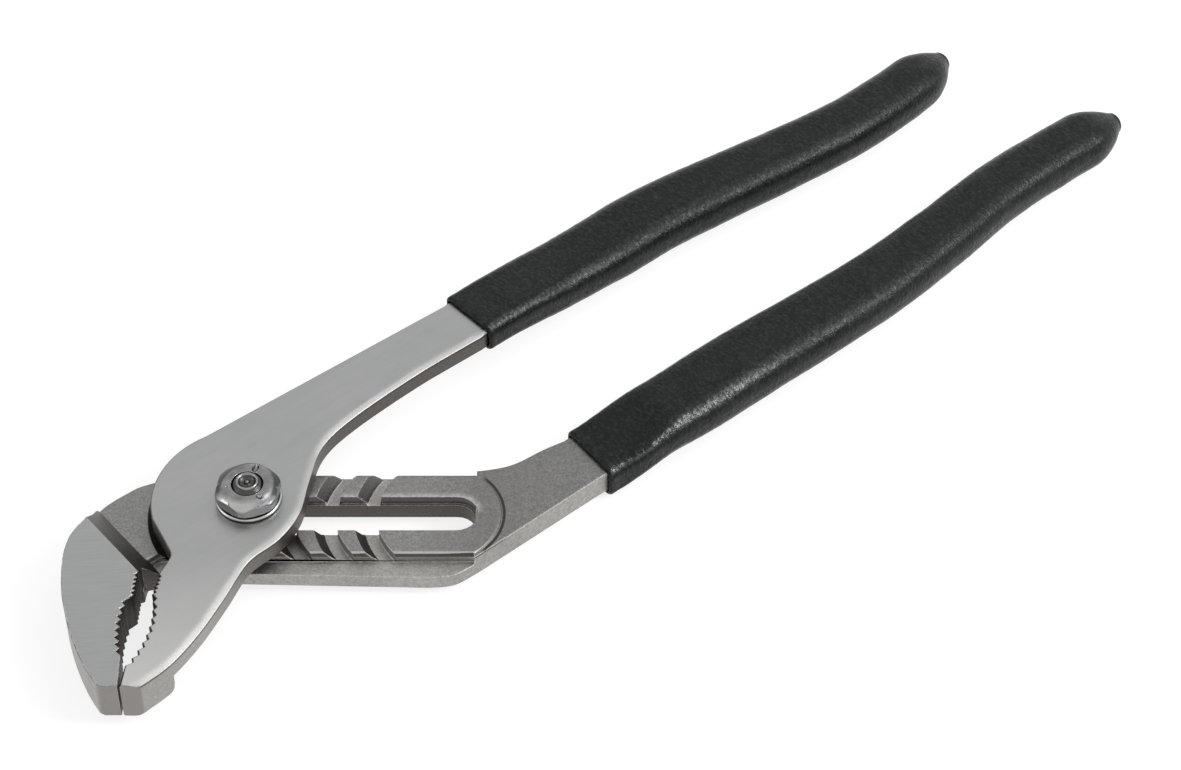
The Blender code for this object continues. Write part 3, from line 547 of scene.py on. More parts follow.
def brushed_steel():
    """Upper lever: a brushed top, a bright back rim, forged walls that are dark with scale and painted
    shade by the neck, and tooth faces in painted shade.
    """
    f = Finish("brushed_lever_steel", metallic=1.0)
    _, y, z = f.axes(f.place)
    aside, _, up = f.axes(f.facing)
    fine = f.brushing(UPPER_BRUSH_ANGLE)
    broad = f.noise(f.stretched(UPPER_BRUSH_ANGLE, along=40.0, across=420.0))
    cloud = f.noise(scale=70.0)
    grain = f.noise(scale=2000.0, detail=3.0, roughness=0.6)
    edge, eased = f.edge_wear_and_glint(UPPER_EDGE_REACH)

    flat = f.spread(up, 0.90, 0.985)
    back = f.spread(aside, 0.1, 0.3)
    rim = f.both(back, f.spread(up, 0.30, 0.55))
    shade = f.both(back, f.spread(up, 0.5, 0.3), f.spread(z, *RIM_SHADE_CHANGE))
    teeth = f.both(f.spread(aside, -0.2, -0.4), f.spread(y, JAW_THROAT_Y, JAW_THROAT_Y - MM))

    streak = f.math("ADD", f.both(fine, 0.65), f.both(broad, 0.35))
    ground = f.layered(
        f.mottled(streak, *UPPER_GROUND, low=0.33, high=0.67),
        (f.spread(cloud, 0.3, 0.7), 0.3, UPPER_CLOUD),
        (f.spread(y, *JAW_TOP_CHANGE), 0.85, UPPER_JAW_GROUND),
    )
    colour = f.layered(
        # Walls: dark scale and painted shade by the neck, fading to lighter walls by the jaw
        f.mottled(grain, *UPPER_NECK_WALL),
        (f.spread(y, *JAW_WALL_CHANGE), 1.0, f.mottled(grain, *UPPER_JAW_WALL)),
        (shade, 0.75, UPPER_RIM_SHADE),
        (rim, 0.95, UPPER_RIM),
        (f.spread(y, *NOSE_CHANGE), 0.8, NOSE_STEEL),
        (teeth, 1.0, f.tooth_shade()),
        (flat, 1.0, ground),
        (f.both(edge, f.outside(teeth)), 0.5, UPPER_EDGE_WEAR_AND_GLINT),
    )
    rough_flat = f.spread(streak, 0.3, 0.7, 0.30, 0.40)
    rough_wall = f.spread(grain, 0.3, 0.7, 0.38, 0.52)
    height = f.between(flat, f.both(grain, 2.2), fine)
    return f.done(colour, f.between(flat, rough_wall, rough_flat), f.bump(height, BRUSHED_RELIEF, eased))


class LowerLeverMasks:
    """Where each finish of the lower lever lies, told by place and facing."""

    def __init__(self, f):
        self.x, self.y, self.z = f.axes(f.place)
        self.aside, self.ahead, self.up = f.axes(f.facing)
        self.wall = f.spread(self.up, 0.5, 0.3)
        self.upright = f.both(self.wall, f.spread(self.up, -0.5, -0.3))
        self.mark_jaw(f)
        self.mark_neck(f)
        self.mark_slot(f)

    def mark_jaw(self, f):
        """The jaw's brushed top, its tooth faces, the end of its nose and the throat behind the teeth."""
        top = f.spread(self.z, PLATE_TOP - 0.6 * MM, PLATE_TOP - 0.2 * MM)
        self.flat = f.both(top, f.spread(self.up, 0.80, 0.97))
        by_teeth = f.spread(self.y, JAW_THROAT_Y + 3.0 * MM, JAW_THROAT_Y)
        self.teeth = f.both(f.spread(self.aside, 0.2, 0.4), by_teeth)
        self.nose = f.both(f.spread(self.y, *NOSE_CHANGE), self.wall)
        # The throat wall behind the teeth, which takes painted shadow
        self.throat = f.both(
            self.upright, f.spread(self.aside, -0.4, -0.2),
            f.inside(self.x, THROAT_LEFT, THROAT_RIGHT, THROAT_SOFT),
            f.inside(self.y, THROAT_NEAR, THROAT_FAR, THROAT_SOFT),
        )

    def mark_neck(self, f):
        """The neck's ledge, the ramps of its grooves, and the painted shadow line round its end at the
        shank.
        """
        self.neck = f.spread(self.x, *NECK_CHANGE)
        self.high = f.spread(self.z, LEDGE_TOP + 0.1 * MM, LEDGE_TOP + 0.3 * MM)
        self.ledge = f.both(f.outside(self.high), f.spread(self.up, 0.6, 0.8))
        sloping = f.both(f.spread(self.aside, 0.18, 0.4), f.spread(self.up, 0.25, 0.4))
        self.ramp = f.both(self.neck, self.high, sloping)
        radius = f.plan_distance(f.math("SUBTRACT", self.x, NECK_END), self.y)
        off_line = f.math("ABSOLUTE", f.math("SUBTRACT", radius, NECK_END_RADIUS))
        self.step = f.both(
            f.spread(off_line, 0.45 * MM, 0.25 * MM), f.spread(self.x, *NECK_STEP_CHANGE),
            f.spread(self.z, SHANK_TOP - 0.2 * MM, SHANK_TOP - 0.1 * MM),
        )

    def mark_slot(self, f):
        """The slot's walls, the floor and slopes of the lip round it, and the far rail's rim."""
        off_middle = f.math("ABSOLUTE", self.y)
        in_slot = f.spread(off_middle, SLOT_HALF + 1.0 * MM, SLOT_HALF + 0.7 * MM)
        self.slot = f.both(self.neck, self.upright, in_slot)
        past_end = f.math("MAXIMUM", f.math("SUBTRACT", self.x, SLOT_END), 0.0)
        from_slot = f.plan_distance(past_end, self.y)
        self.lip_floor = f.both(
            self.neck, f.spread(from_slot, SLOT_HALF + 0.8 * MM, SLOT_HALF + 0.7 * MM),
            f.spread(self.up, 0.6, 0.8), f.spread(self.z, LIP_TOP - 0.08 * MM, LIP_TOP - 0.02 * MM),
            f.spread(self.z, LIP_TOP + 0.2 * MM, LIP_TOP + 0.1 * MM),
        )
        near = f.both(self.neck, self.high, f.outside(self.ramp), f.spread(self.ahead, -0.05, -0.15))
        # Painted highlight high on the lip's rounded edge, painted shade lower down
        self.lip_highlight = f.both(near, f.spread(self.up, 0.985, 0.95), f.spread(self.up, 0.74, 0.82))
        self.lip_shade = f.both(near, f.spread(self.up, 0.80, 0.70), f.spread(self.up, 0.2, 0.3))
        # Painted highlight along the far rail's rim
        self.far_rim_highlight = f.both(
            self.neck, f.spread(self.x, *FAR_RIM_X), f.spread(self.y, *FAR_RIM_Y),
            f.spread(self.up, 0.9, 0.96), f.spread(self.z, RIDGE_TOP - 0.2 * MM, RIDGE_TOP - 0.1 * MM),
            f.spread(from_slot, SLOT_HALF + 2.2 * MM, SLOT_HALF + 1.0 * MM),
        )


def blasted_steel():
    """Lower lever: blasted all over, with painted shade in its grooves, its slot and its throat, and only
    the jaw's top brushed.
    """
    f = Finish("blasted_lever_steel", metallic=1.0)
    on = LowerLeverMasks(f)
    fine = f.brushing(JAW_BRUSH_ANGLE)
    grain = f.noise(scale=2000.0, detail=4.0, roughness=0.65)
    speck = f.noise(scale=900.0)
    stain = f.noise(scale=55.0, detail=3.0)
    edge, eased = f.edge_wear_and_glint(LOWER_EDGE_REACH)
    glint = f.spread(f.noise(scale=1300.0), 0.42, 0.6, 0.3, 0.95)
    worn_glinting_edges = f.both(edge, glint, f.outside(f.both(on.teeth, on.wall)), f.outside(f.both(on.lip_floor, 0.85)))

    # Painted shade on the ramps of the grooves and of the jaw
    jaw_ramp_shade = f.mix(f.spread(on.y, *JAW_RAMP_FADE), *JAW_RAMP_SHADE)
    ramp_shade = f.mix(f.spread(on.x, *JAW_RAMP_CHANGE), f.mottled(grain, *GROOVE_SHADE), jaw_ramp_shade)
    # Painted shade: dark brown in the slot and on the throat wall
    brown = f.mottled(grain, *SLOT_SHADE_BROWN)
    # Painted shade band on the lip's wall above the slot and on its floor
    lip_shade_band = f.mottled(grain, *LIP_BAND_SHADE)
    colour = f.layered(
        f.mottled(grain, *BLASTED),
        (f.spread(on.x, *RAIL_FADE, to_low=0.2), 1.0, f.mottled(grain, *BLASTED_RAILS)),
        (f.math("MAXIMUM", f.both(on.ledge, 0.8), on.wall), 1.0, f.mottled(grain, *BLASTED_WALL)),
        (f.spread(speck, 0.35, 0.75), 0.3, BLASTED_SPECK),
        (f.spread(stain, 0.5, 0.8), 0.3, BLASTED_STAIN),
        (on.nose, 0.8, NOSE_STEEL),
        (on.lip_shade, 0.8, LIP_SHADE),
        (on.lip_highlight, 0.7, LIP_HIGHLIGHT),
        (on.far_rim_highlight, 0.8, f.mottled(speck, *FAR_RIM_HIGHLIGHT, low=0.35, high=0.65)),
        (on.ramp, 1.0, ramp_shade),
        (on.slot, 0.95, f.mix(f.spread(on.z, LIP_TOP - 0.1 * MM, LIP_TOP), brown, lip_shade_band)),
        (on.lip_floor, 0.95, lip_shade_band),
        (on.throat, 0.9, brown),
        (on.teeth, 1.0, f.tooth_shade()),
        (on.flat, 1.0, f.mottled(fine, *LOWER_GROUND, low=0.33, high=0.67)),
        (worn_glinting_edges, 1.0, LOWER_EDGE_WEAR_AND_GLINT),
        (on.step, 0.9, STEP_SHADOW),
    )
    rough_wall = f.spread(grain, 0.3, 0.7, 0.38, 0.54)
    rough_flat = f.spread(fine, 0.3, 0.7, 0.30, 0.40)
    height = f.between(on.flat, grain, f.both(fine, 0.18))
    roughness = f.between(on.flat, rough_wall, rough_flat)
    return f.done(colour, roughness, f.bump(height, BLASTED_RELIEF, eased))


def dipped_grip(name, gloss):
    """Black dipped plastic with a leathery grain, and glossy on its near shoulder by the mouth."""
    f = Finish(name)
    x, y, _ = f.axes(f.place)
    aside, _, up = f.axes(f.facing)
    ahead = heading(SKIN_ANGLE)
    along = f.math("ADD", f.both(x, ahead.x), f.both(y, ahead.y))
    across = f.noise(f.stretched(SKIN_ANGLE, along=1300.0, across=700.0), detail=3.0, distortion=0.4)
    grain = f.noise(scale=1500.0, detail=3.0, roughness=0.65)
    speck = f.noise(f.stretched(SKIN_ANGLE, along=1500.0, across=900.0))
    cloud = f.noise(scale=120.0, detail=3.0)

    by_mouth = f.spread(along, MOUTH_ALONG + GLOSS_GONE, MOUTH_ALONG + GLOSS_FULL, 0.0, gloss)
    turned_near = f.both(f.spread(aside, 0.20, 0.28), f.spread(aside, 0.56, 0.46))
    shoulder = f.both(turned_near, f.spread(up, 0.4, 0.6), by_mouth)
    colour = f.layered(
        f.mottled(cloud, *GRIP_BLACK),
        (f.spread(grain, 0.55, 0.75), 0.5, GRIP_GREY),
    )
    shine = f.spread(speck, 0.45, 0.75, 0.15, 0.32)
    wet = f.spread(speck, 0.35, 0.6, 0.25, 1.0)
    f.put(f.shader.inputs["Specular IOR Level"], f.between(shoulder, shine, wet))
    roughness = f.between(shoulder, f.spread(cloud, 0.3, 0.7, 0.22, 0.30), 0.2)
    height = f.math("ADD", f.both(across, 0.8), f.both(grain, 0.7))
    return f.done(colour, roughness, f.bump(height, SKIN_RELIEF))


def plated_steel(name, plating, roughness, shaded_within=0.0, shaded_below=BOLT_HIGH.z, shade_and_sheen=0.0):
    """Glossy plated steel with handling scuffs, worn edges with painted glints, and painted shade in its
    hollows.

    Painted shade also covers what lies within a radius of the bolt's axis and below a height. A piece
    may also take painted shade on its left and right slopes and a painted sheen on its front.
    """
    f = Finish(name, metallic=1.0)
    x, y, z = f.axes(f.place)
    aside, ahead, up = f.axes(f.facing)
    cloud = f.noise(scale=500.0, detail=3.0)
    scuff = f.noise(f.stretched(SCUFF_ANGLE, along=300.0, across=3500.0))
    grain = f.noise(scale=3200.0)
    edge, eased = f.edge_wear_and_glint(PLATED_EDGE_REACH)

    # Painted shade within a radius of the axis and below a height, and in the hollows
    sunk = f.both(
        f.spread(f.plan_distance(x, y), shaded_within, shaded_within - 0.25 * MM),
        f.spread(z, shaded_below, shaded_below - 0.15 * MM),
    )
    hollow_shade = f.math("MAXIMUM", sunk, f.both(f.hollow(HOLLOW_REACH), 0.9))
    # Painted shade on the left and right slopes and painted sheen on the front, in the share the caller
    # gives
    left = f.math("SUBTRACT", f.both(ahead, 0.6), f.both(aside, 0.8))
    slopes = f.math("MAXIMUM", f.spread(left, 0.24, 0.36), f.spread(aside, 0.30, 0.45))
    side_shade = f.both(slopes, f.spread(up, 0.4, 0.6))
    front_top_sheen = f.both(f.spread(ahead, -0.15, -0.4), f.spread(up, 0.5, 0.7), f.spread(aside, 0.3, 0.1))
    front_flat_sheen = f.both(f.spread(ahead, -0.84, -0.9), f.spread(up, 0.3, 0.1))
    colour = f.layered(
        f.mottled(cloud, *plating),
        (side_shade, 0.85 * shade_and_sheen, SLOPE_SHADE),
        (front_top_sheen, 0.8 * shade_and_sheen, TOP_FRONT_SHEEN),
        (front_flat_sheen, 0.9 * shade_and_sheen, FLAT_FRONT_SHEEN),
        (hollow_shade, 0.9, FASTENER_SHADE),
        (edge, 0.65, PLATED_EDGE_WEAR_AND_GLINT),
    )
    rough = f.spread(scuff, 0.3, 0.7, roughness, roughness + SCUFF_ROUGHNESS)
    height = f.math("ADD", f.both(scuff, 0.6), f.both(grain, 0.6))
    return f.done(colour, rough, f.bump(height, PLATED_RELIEF, eased))


# Meshes

def new_piece(name, mesh, material, body, node):
    """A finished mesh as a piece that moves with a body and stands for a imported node."""
    piece = bpy.data.objects.new(name, mesh)
    bpy.context.scene.collection.objects.link(piece)
    mesh.materials.clear()
    mesh.materials.append(material)
    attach(piece, body)
    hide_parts(node)


def to_mesh(work, name):
    """Faces turned outwards and shaded smooth, with wide flats kept flat to the eye."""
    bmesh.ops.recalc_face_normals(work, faces=work.faces)
    mesh = bpy.data.meshes.new(name)
    work.to_mesh(mesh)
    work.free()
    mesh.shade_smooth()
    holder = bpy.data.objects.new(name, mesh)
    bpy.context.scene.collection.objects.link(holder)
    weighted = holder.modifiers.new("flat_faces", "WEIGHTED_NORMAL")
    weighted.weight = FLAT_WEIGHT
    ready = holder.evaluated_get(bpy.context.evaluated_depsgraph_get())
    result = bpy.data.meshes.new_from_object(ready)
    bpy.data.objects.remove(holder)
    bpy.data.meshes.remove(mesh)
    result.name = name
    return result


def ease_edges(work, width):
    """Round every sharp edge a little, and draw stray corners back to the surface."""
    bmesh.ops.dissolve_degenerate(work, dist=SLIVER, edges=work.edges)
    bmesh.ops.dissolve_limit(work, angle_limit=FLAT_ANGLE, verts=work.verts, edges=work.edges)
    skin = BVHTree.FromBMesh(work)
    sharp = [edge for edge in work.edges if edge.calc_face_angle(0.0) > EASE_ANGLE]
    bmesh.ops.bevel(
        work, geom=sharp, offset=width, offset_type="OFFSET", segments=2, profile=0.5,
        affect="EDGES", clamp_overlap=False,
    )
    for vert in work.verts:
        place, _, _, distance = skin.find_nearest(vert.co)
        if distance > width:
            vert.co = place


def roll_rim(work):
    """Give the upper lever's back rim a steadier slope, so that it shows as a broad soft band."""
    ahead = heading(UPPER_HANDLE["angle"])
    mouth = ahead.dot(Vector(UPPER_HANDLE["start"]))
    for vert in work.verts:
        drop = PLATE_TOP - vert.co.z
        if WELD < drop < BACK_DROP and Vector(vert.co.xy).dot(ahead) < mouth:
            vert.co.z = PLATE_TOP - BACK_DROP * math.sqrt(drop / BACK_DROP)


def lever(node, name, material, body):
    """A forged lever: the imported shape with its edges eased."""
    work = bmesh.new()
    work.from_mesh(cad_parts[node].data)
    bmesh.ops.remove_doubles(work, verts=work.verts, dist=WELD)
    if node == "upper_lever":
        roll_rim(work)
    ease_edges(work, LEVER_EASE)
    new_piece(name, to_mesh(work, name), material, body, node)


# Grips

def ease(value):
    """A smooth change from 0 to 1, held at its ends."""
    value = min(max(value, 0.0), 1.0)
    return value * value * (3 - 2 * value)


def smooth_path(points):
    """Catmull-Rom curve through plan points, as (distance, place, direction) samples."""
    ends = [points[0], *points, points[-1]]
    curve = []
    for p0, p1, p2, p3 in zip(ends, ends[1:], ends[2:], ends[3:]):
        for step in range(PATH_STEPS):
            t = step / PATH_STEPS
            bend = (2 * p0 - 5 * p1 + 4 * p2 - p3) * t ** 2 + (3 * p1 - p0 - 3 * p2 + p3) * t ** 3
            curve.append((2 * p1 + (p2 - p0) * t + bend) / 2)
    curve.append(points[-1])
    samples = []
    distance = 0.0
    for here, there in zip(curve, curve[1:]):
        samples.append((distance, here, (there - here).normalized()))
        distance += (there - here).length
    samples.append((distance, curve[-1], samples[-1][2]))
    return samples


class Grip:
    """A dipped sleeve on a handle, lofted in rings along the handle's bowed line."""

    def __init__(self, start, length, angle, bow, rise, swell_at, swell_width, shank):
        ahead = heading(angle)
        left = Vector((-ahead.y, ahead.x))
        line = [Vector(start) + ahead * length * share + left * aside for share, aside in bow]
        self.samples = smooth_path(line)
        self.length = self.samples[-1][0]
        self.body_end = self.length - GRIP_TIP_LENGTH
        self.rise = rise
        self.swell_at = swell_at
        self.swell_width = swell_width
        self.shank_width, self.shank_bottom, self.shank_top = shank

    def along(self, distance):
        """Place and direction on the line; it runs on straight past both ends."""
        first, last = self.samples[0], self.samples[-1]
        if distance <= 0.0:
            return first[1] + first[2] * distance, first[2]
        for near, far in zip(self.samples, self.samples[1:]):
            if distance <= far[0]:
                share = (distance - near[0]) / (far[0] - near[0])
                return near[1].lerp(far[1], share), near[2].lerp(far[2], share).normalized()
        return last[1] + last[2] * (distance - last[0]), last[2]

    def section(self, distance):
        """Half width, half thickness, middle height and corner radius of the steel inside."""
        rise = ease(distance / self.rise)
        swell = ease(distance / self.swell_at)
        taper = ease((distance - self.swell_at) / (self.length - self.swell_at))
        width = self.shank_width + (self.swell_width - self.shank_width) * swell
        width += (HANDLE_END_WIDTH - self.swell_width) * taper
        thickness = self.shank_top - self.shank_bottom
        middle = (self.shank_top + self.shank_bottom) / 2
        middle += (HAND_MIDDLE - middle) * rise
        thickness += (HAND_THICKNESS - thickness) * rise
        corner = SHANK_ROUND + (HAND_ROUND - SHANK_ROUND) * rise
        return width / 2, thickness / 2, middle, corner

    def ring(self, distance, grow, uneven=0.0):
        """A rounded rectangle across the line, `grow` outside the steel."""
        place, direction = self.along(distance)
        wide, thick, middle, corner = self.section(distance)
        wide += grow
        thick += grow
        corner = max(corner + grow, SHANK_ROUND / 2)
        shoulder = max(corner, SHOULDER_ROUND) if uneven else corner
        past = distance - self.body_end
        if past > 0.0:
            dome = math.sqrt(max(0.0, 1 - (past / GRIP_TIP_LENGTH) ** 2))
            beyond = max(0.0, past - GRIP_TIP_LENGTH) / GRIP_NUB
            nub = GRIP_NUB_RADIUS * math.sqrt(max(0.0, 1 - beyond ** 2))
            wide = blended(wide * dome, nub)
            thick = blended(thick * dome, nub)
        corners = (corner, shoulder, corner, corner)
        return rounded_ring(place, direction, middle, wide, thick, corners, uneven)

    def wall(self, distance):
        """The skin outside the steel, thinnest where the handle swells."""
        thinned = MOUTH_WALL + (SWELL_WALL - MOUTH_WALL) * ease(distance / self.swell_at)
        return thinned + (GRIP_WALL - SWELL_WALL) * ease((distance - self.swell_at) / WALL_GROWTH)

    def work(self):
        """The whole sleeve: its bore, the bead round its mouth, its body and its drip end."""
        bore_end = self.body_end + CORE_INTO_TIP + GRIP_GAP
        rows = [self.ring(d, GRIP_GAP) for d in spaced(bore_end, GRIP_BEAD_LENGTH, BORE_STEP)]
        for share, grow in GRIP_BEAD:
            rows.append(self.ring(share * GRIP_BEAD_LENGTH, grow, MOUTH_UNEVEN))
        body_start = GRIP_BEAD_LENGTH * GRIP_BEAD[-1][0] + GRIP_STEP
        for distance in spaced(body_start, self.body_end, GRIP_STEP):
            rows.append(self.ring(distance, self.wall(distance), SKIN_UNEVEN))
        tip = GRIP_TIP_LENGTH + GRIP_NUB
        for step in range(1, TIP_STEPS + 1):
            turn = math.pi / 2 * step / TIP_STEPS
            fade = SKIN_UNEVEN * math.cos(turn)
            rows.append(self.ring(self.body_end + tip * TIP_REACH * math.sin(turn), GRIP_WALL, fade))
        return loft(rows)


def blended(first, second):
    """The larger of two sizes, with a rounded change from one to the other."""
    overlap = max(TIP_BLEND - abs(first - second), 0.0) / TIP_BLEND
    return max(first, second) + overlap * overlap * TIP_BLEND / 4


def spaced(start, end, step):
    """Even places from start to end, about a step apart."""
    count = max(2, round(abs(end - start) / step))
    return [start + (end - start) * i / count for i in range(count + 1)]


def rounded_ring(place, direction, middle, wide, thick, corners, uneven):
    """Points round a rectangle with four corner radii, pushed out by a little noise.

    The corners come in the order far top, near top, near bottom, far bottom.
    """
    side = Vector((-direction.y, direction.x, 0.0))
    up = Vector((0.0, 0.0, 1.0))
    centre = Vector((place.x, place.y, middle))
    arcs = []
    for quarter, corner in enumerate(corners):
        corner = min(corner, CORNER_SHARE * wide, CORNER_SHARE * thick)
        across = (wide - corner) * (1 if quarter in (0, 3) else -1)
        high = (thick - corner) * (1 if quarter in (0, 1) else -1)
        pivot = centre + side * across + up * high
        points = []
        for step in range(RING_CORNER + 1):
            turn = math.radians(90 * (quarter + step / RING_CORNER))
            out = side * math.cos(turn) + up * math.sin(turn)
            points.append((pivot + out * corner, out))
        arcs.append(points)
    ring = []
    for quarter, points in enumerate(arcs):
        ring += points
        last, out = points[-1]
        first = arcs[(quarter + 1) % 4][0][0]
        steps = RING_LONG if quarter in (0, 2) else RING_SHORT
        ring += [(last.lerp(first, step / steps), out) for step in range(1, steps)]
    return [spot + out * skin_wave(spot, direction) * uneven for spot, out in ring]


def skin_wave(spot, direction):
    """Slow swells of the dipped skin, and small wrinkles that lie across the handle."""
    swell = noise.noise(spot / SWELL_SIZE)
    ahead = Vector((direction.x, direction.y, 0.0)).normalized()
    flat = spot - ahead * spot.dot(ahead)
    wrinkle = noise.noise(flat / WRINKLE_LENGTH + ahead * spot.dot(ahead) / WRINKLE_SIZE)
    return swell + WRINKLE_SHARE * wrinkle


def loft(rows):
    """A closed skin over rings of equal count."""
    work = bmesh.new()
    verts = [[work.verts.new(p) for p in row] for row in rows]
    for near, far in zip(verts, verts[1:]):
        for i in range(len(near)):
            j = (i + 1) % len(near)
            work.faces.new((near[i], near[j], far[j], far[i]))
    work.faces.new(verts[0])
    work.faces.new(verts[-1])
    return work


# Bolt, washer and nut

def turned(profile):
    """A closed body turned about the bolt's axis; the profile runs from axis to axis or in a ring."""
    work = bmesh.new()
    rings = []
    for radius, height in profile:
        turns = [math.tau * step / TURN_STEPS for step in range(TURN_STEPS if radius > 0.0 else 1)]
        rings.append([work.verts.new((radius * math.cos(t), radius * math.sin(t), height)) for t in turns])
    pairs = list(zip(rings, rings[1:]))
    if profile[0][0] > 0.0:
        pairs.append((rings[-1], rings[0]))
    for near, far in pairs:
        for i in range(TURN_STEPS):
            j = i + 1
            corners = [ring[k % len(ring)] for ring, k in ((near, i), (near, j), (far, j), (far, i))]
            work.faces.new(dict.fromkeys(corners))
    bmesh.ops.recalc_face_normals(work, faces=work.faces)
    return work


def bolt_work():
    """The bolt: a dished, ringed end, a thread inside the nut, a plain shank and a low head."""
    thread_start = NUT_HIGH.z - THREAD_INTO_NUT
    profile = [(radius, BOLT_HIGH.z - drop) for radius, drop in BOLT_END]
    turns = int((thread_start - WASHER_HIGH.z) / THREAD_PITCH)
    for turn in range(turns):
        crest = thread_start - turn * THREAD_PITCH
        profile += [(BOLT_RADIUS, crest - drop) for drop in THREAD_CREST]
        profile.append((BOLT_RADIUS - THREAD_DEPTH, crest - THREAD_PITCH / 2))
    profile.append((BOLT_RADIUS, thread_start - turns * THREAD_PITCH))
    profile.append((BOLT_RADIUS, BOLT_HEAD_TOP))
    profile += [(BOLT_HIGH.x - inset, height) for inset, height in BOLT_HEAD_EDGE]
    profile.append((0.0, 0.0))
    return turned(profile)


def washer_work():
    """A bright washer whose punched rim is rounded above."""
    low, high, rim = WASHER_LOW.z, WASHER_HIGH.z, WASHER_HIGH.x
    return turned([
        (NUT_BORE, low + WASHER_HOLE_EASE),
        (NUT_BORE + WASHER_HOLE_EASE, high),
        *((rim - inset, high - drop) for inset, drop in WASHER_TOP_EDGE),
        *((rim - inset, low + rise) for inset, rise in WASHER_UNDER_EDGE),
        (NUT_BORE + WASHER_HOLE_EASE, low),
    ])


def apply_boolean(target, tool_work, operation):
    """Cut or keep one mesh by another; both are used up."""
    mesh = bpy.data.meshes.new("tool")
    tool_work.to_mesh(mesh)
    tool_work.free()
    tool = bpy.data.objects.new("tool", mesh)
    bpy.context.scene.collection.objects.link(tool)
    cut = target.modifiers.new("cut", "BOOLEAN")
    cut.operation = operation
    cut.object = tool
    ready = target.evaluated_get(bpy.context.evaluated_depsgraph_get())
    target.data = bpy.data.meshes.new_from_object(ready)
    target.modifiers.remove(cut)
    bpy.data.objects.remove(tool)


def nut_work():
    """A hexagon nut, domed above, chamfered below and staked to the bolt."""
    low, high = NUT_LOW.z, NUT_HIGH.z
    to_corner = NUT_ACROSS_FLATS / math.sqrt(3)
    work = bmesh.new()
    bmesh.ops.create_cone(
        work, cap_ends=True, segments=6, radius1=to_corner, radius2=to_corner, depth=high - low,
        matrix=Matrix.Translation((0.0, 0.0, (low + high) / 2))
        @ Matrix.Rotation(math.radians(NUT_TURN), 4, "Z"),
    )
    mesh = bpy.data.meshes.new("nut")
    work.to_mesh(mesh)
    work.free()
    nut = bpy.data.objects.new("nut", mesh)
    bpy.context.scene.collection.objects.link(nut)
    apply_boolean(nut, turned([
        (NUT_MOUTH, high),
        *((radius, high - drop) for radius, drop in NUT_DOME),
        (NUT_OUTSIDE_RADIUS, low + NUT_SEAT_CHAMFER),
        (NUT_SEAT_RADIUS, low),
        (NUT_BORE, low),
        (NUT_BORE, high - NUT_BORE_DROP),
        (NUT_MOUTH, high - NUT_MOUTH_LIP),
    ]), "INTERSECT")
    for angle, radius, length, width, depth in STAKES:
        stake = bmesh.new()
        bmesh.ops.create_icosphere(stake, subdivisions=2, radius=1.0)
        bmesh.ops.transform(stake, verts=stake.verts, matrix=(
            Matrix.Rotation(math.radians(angle), 4, "Z")
            @ Matrix.Translation((radius, 0.0, high))
            @ Matrix.Rotation(math.radians(STAKE_TILT), 4, "Y")
            @ Matrix.Diagonal((length / 2, width / 2, depth, 1.0))
        ))
        apply_boolean(nut, stake, "DIFFERENCE")
    work = bmesh.new()
    work.from_mesh(nut.data)
    bpy.data.objects.remove(nut)
    bmesh.ops.remove_doubles(work, verts=work.verts, dist=WELD)
    ease_edges(work, SMALL_EASE)
    return work


# Stage

def aim(item, place, target):
    """Put a lamp at a place and turn it towards a target."""
    item.location = place
    item.rotation_euler = (Vector(target) - Vector(place)).to_track_quat("-Z", "Y").to_euler()


def add_camera():
    data = bpy.data.cameras.new("camera")
    data.lens = CAMERA_LENS
    data.sensor_width = CAMERA_SENSOR
    data.sensor_fit = "HORIZONTAL"
    camera = bpy.data.objects.new("camera", data)
    camera.location = CAMERA_PLACE
    camera.rotation_euler = (math.radians(CAMERA_TILT), 0.0, 0.0)
    bpy.context.scene.collection.objects.link(camera)
    bpy.context.scene.camera = camera


def add_softbox(name, place, size, radiance):
    """A square area lamp whose face shows a given radiance."""
    data = bpy.data.lights.new(name, "AREA")
    data.shape = "SQUARE"
    data.size = size
    data.energy = radiance * math.pi * size * size
    lamp = bpy.data.objects.new(name, data)
    aim(lamp, place, LAMP_TARGET)
    bpy.context.scene.collection.objects.link(lamp)


def seen_directly(tree):
    """One for rays that come from the camera, a mirror surface or glass."""
    rays = tree.nodes.new("ShaderNodeLightPath")
    total = rays.outputs["Is Camera Ray"]
    for other in ("Is Glossy Ray", "Is Transmission Ray"):
        join = tree.nodes.new("ShaderNodeMath")
        join.operation = "MAXIMUM"
        tree.links.new(total, join.inputs[0])
        tree.links.new(rays.outputs[other], join.inputs[1])
        total = join.outputs[0]
    return total


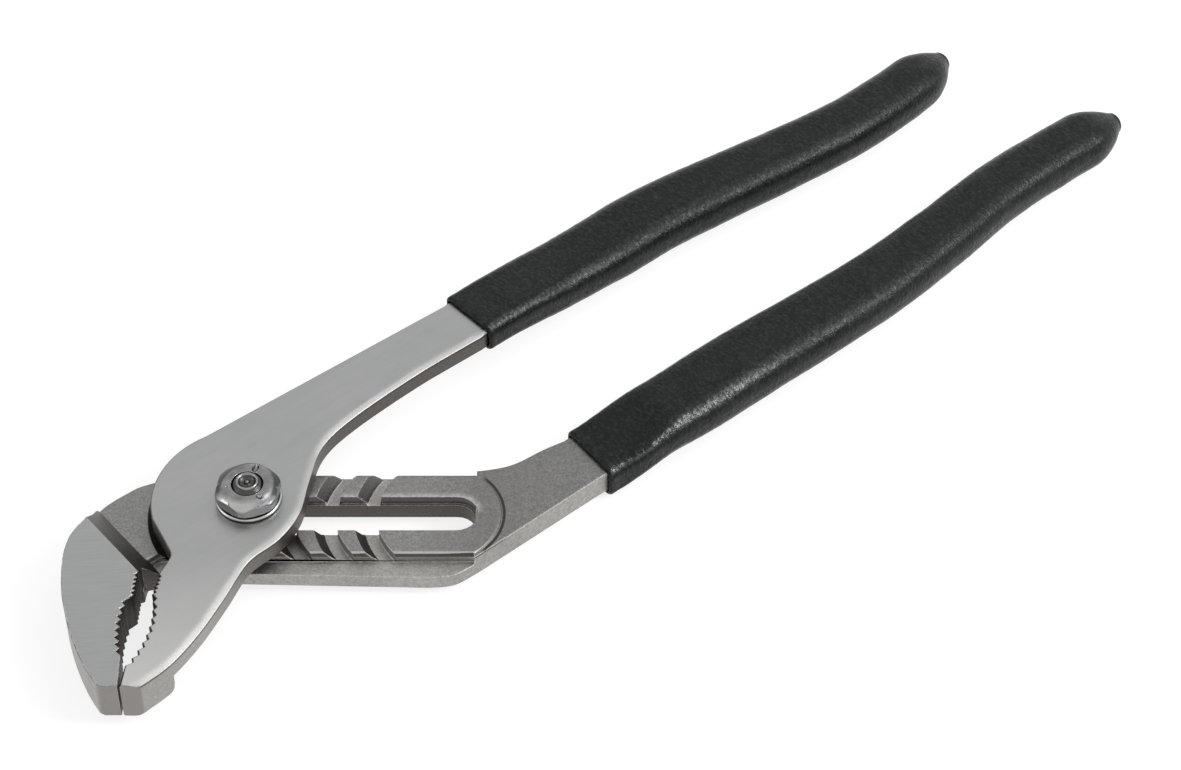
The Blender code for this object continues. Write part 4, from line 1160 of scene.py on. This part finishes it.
def add_floor():
    """A pale floor that shows white, with the object's shadow left on it."""
    mesh = bpy.data.meshes.new("floor")
    work = bmesh.new()
    bmesh.ops.create_grid(work, x_segments=1, y_segments=1, size=FLOOR_REACH)
    work.to_mesh(mesh)
    work.free()
    floor = bpy.data.objects.new("floor", mesh)
    floor.location.z = cad_box[0][2] - FLOOR_DROP
    bpy.context.scene.collection.objects.link(floor)
    material = bpy.data.materials.new("floor_white")
    material.use_nodes = True
    tree = material.node_tree
    shader = tree.nodes["Principled BSDF"]
    shader.inputs["Base Color"].default_value = FLOOR_COLOUR
    shader.inputs["Roughness"].default_value = FLOOR_ROUGHNESS
    shader.inputs["Specular IOR Level"].default_value = 0.0
    shader.inputs["Emission Color"].default_value = WHITE
    scale = tree.nodes.new("ShaderNodeMath")
    scale.operation = "MULTIPLY"
    scale.inputs[1].default_value = FLOOR_GLOW
    tree.links.new(seen_directly(tree), scale.inputs[0])
    tree.links.new(scale.outputs[0], shader.inputs["Emission Strength"])
    mesh.materials.append(material)


def add_world():
    """Even white surroundings, dimmer as a light than they look."""
    world = bpy.data.worlds.new("studio")
    bpy.context.scene.world = world
    world.use_nodes = True
    tree = world.node_tree
    back = tree.nodes["Background"]
    back.inputs["Color"].default_value = WHITE
    level = tree.nodes.new("ShaderNodeMapRange")
    level.inputs["To Min"].default_value = SKY_LIGHT
    level.inputs["To Max"].default_value = SKY_SEEN
    tree.links.new(seen_directly(tree), level.inputs["Value"])
    tree.links.new(level.outputs["Result"], back.inputs["Strength"])


def add_grips():
    """The two dipped sleeves, on the bodies of their levers."""
    for name, handle, gloss in (("upper", UPPER_HANDLE, UPPER_GLOSS), ("lower", LOWER_HANDLE, LOWER_GLOSS)):
        mesh = to_mesh(Grip(**handle).work(), name + "_grip_skin")
        material = dipped_grip(name + "_grip_plastic", gloss)
        new_piece(mesh.name, mesh, material, name, name + "_grip")


def add_fasteners():
    """The bolt, the washer and the nut, on the pivot's body."""
    bolt = to_mesh(bolt_work(), "turned_bolt")
    washer = to_mesh(washer_work(), "bright_washer")
    nut = to_mesh(nut_work(), "staked_nut")
    plated = plated_steel("plated_bolt_steel", BOLT_PLATING, BOLT_ROUGHNESS,
                          BOLT_SHADE_RADIUS, BOLT_SHADE_TOP)
    bright = plated_steel("bright_washer_steel", WASHER_PLATING, WASHER_ROUGHNESS, WASHER_SHADE_RADIUS)
    dull = plated_steel("plated_nut_steel", NUT_PLATING, NUT_ROUGHNESS, shade_and_sheen=1.0)
    new_piece(bolt.name, bolt, plated, "pivot", "pivot_bolt")
    new_piece(washer.name, washer, bright, "pivot", "nut_washer")
    new_piece(nut.name, nut, dull, "pivot", "pivot_nut")


def main():
    bpy.context.scene.view_settings.view_transform = "Standard"
    add_camera()
    add_world()
    add_floor()
    for softbox in SOFTBOXES:
        add_softbox(*softbox)
    lever("upper_lever", "upper_lever_steel", brushed_steel(), "upper")
    lever("lower_lever", "lower_lever_steel", blasted_steel(), "lower")
    add_grips()
    add_fasteners()


main()
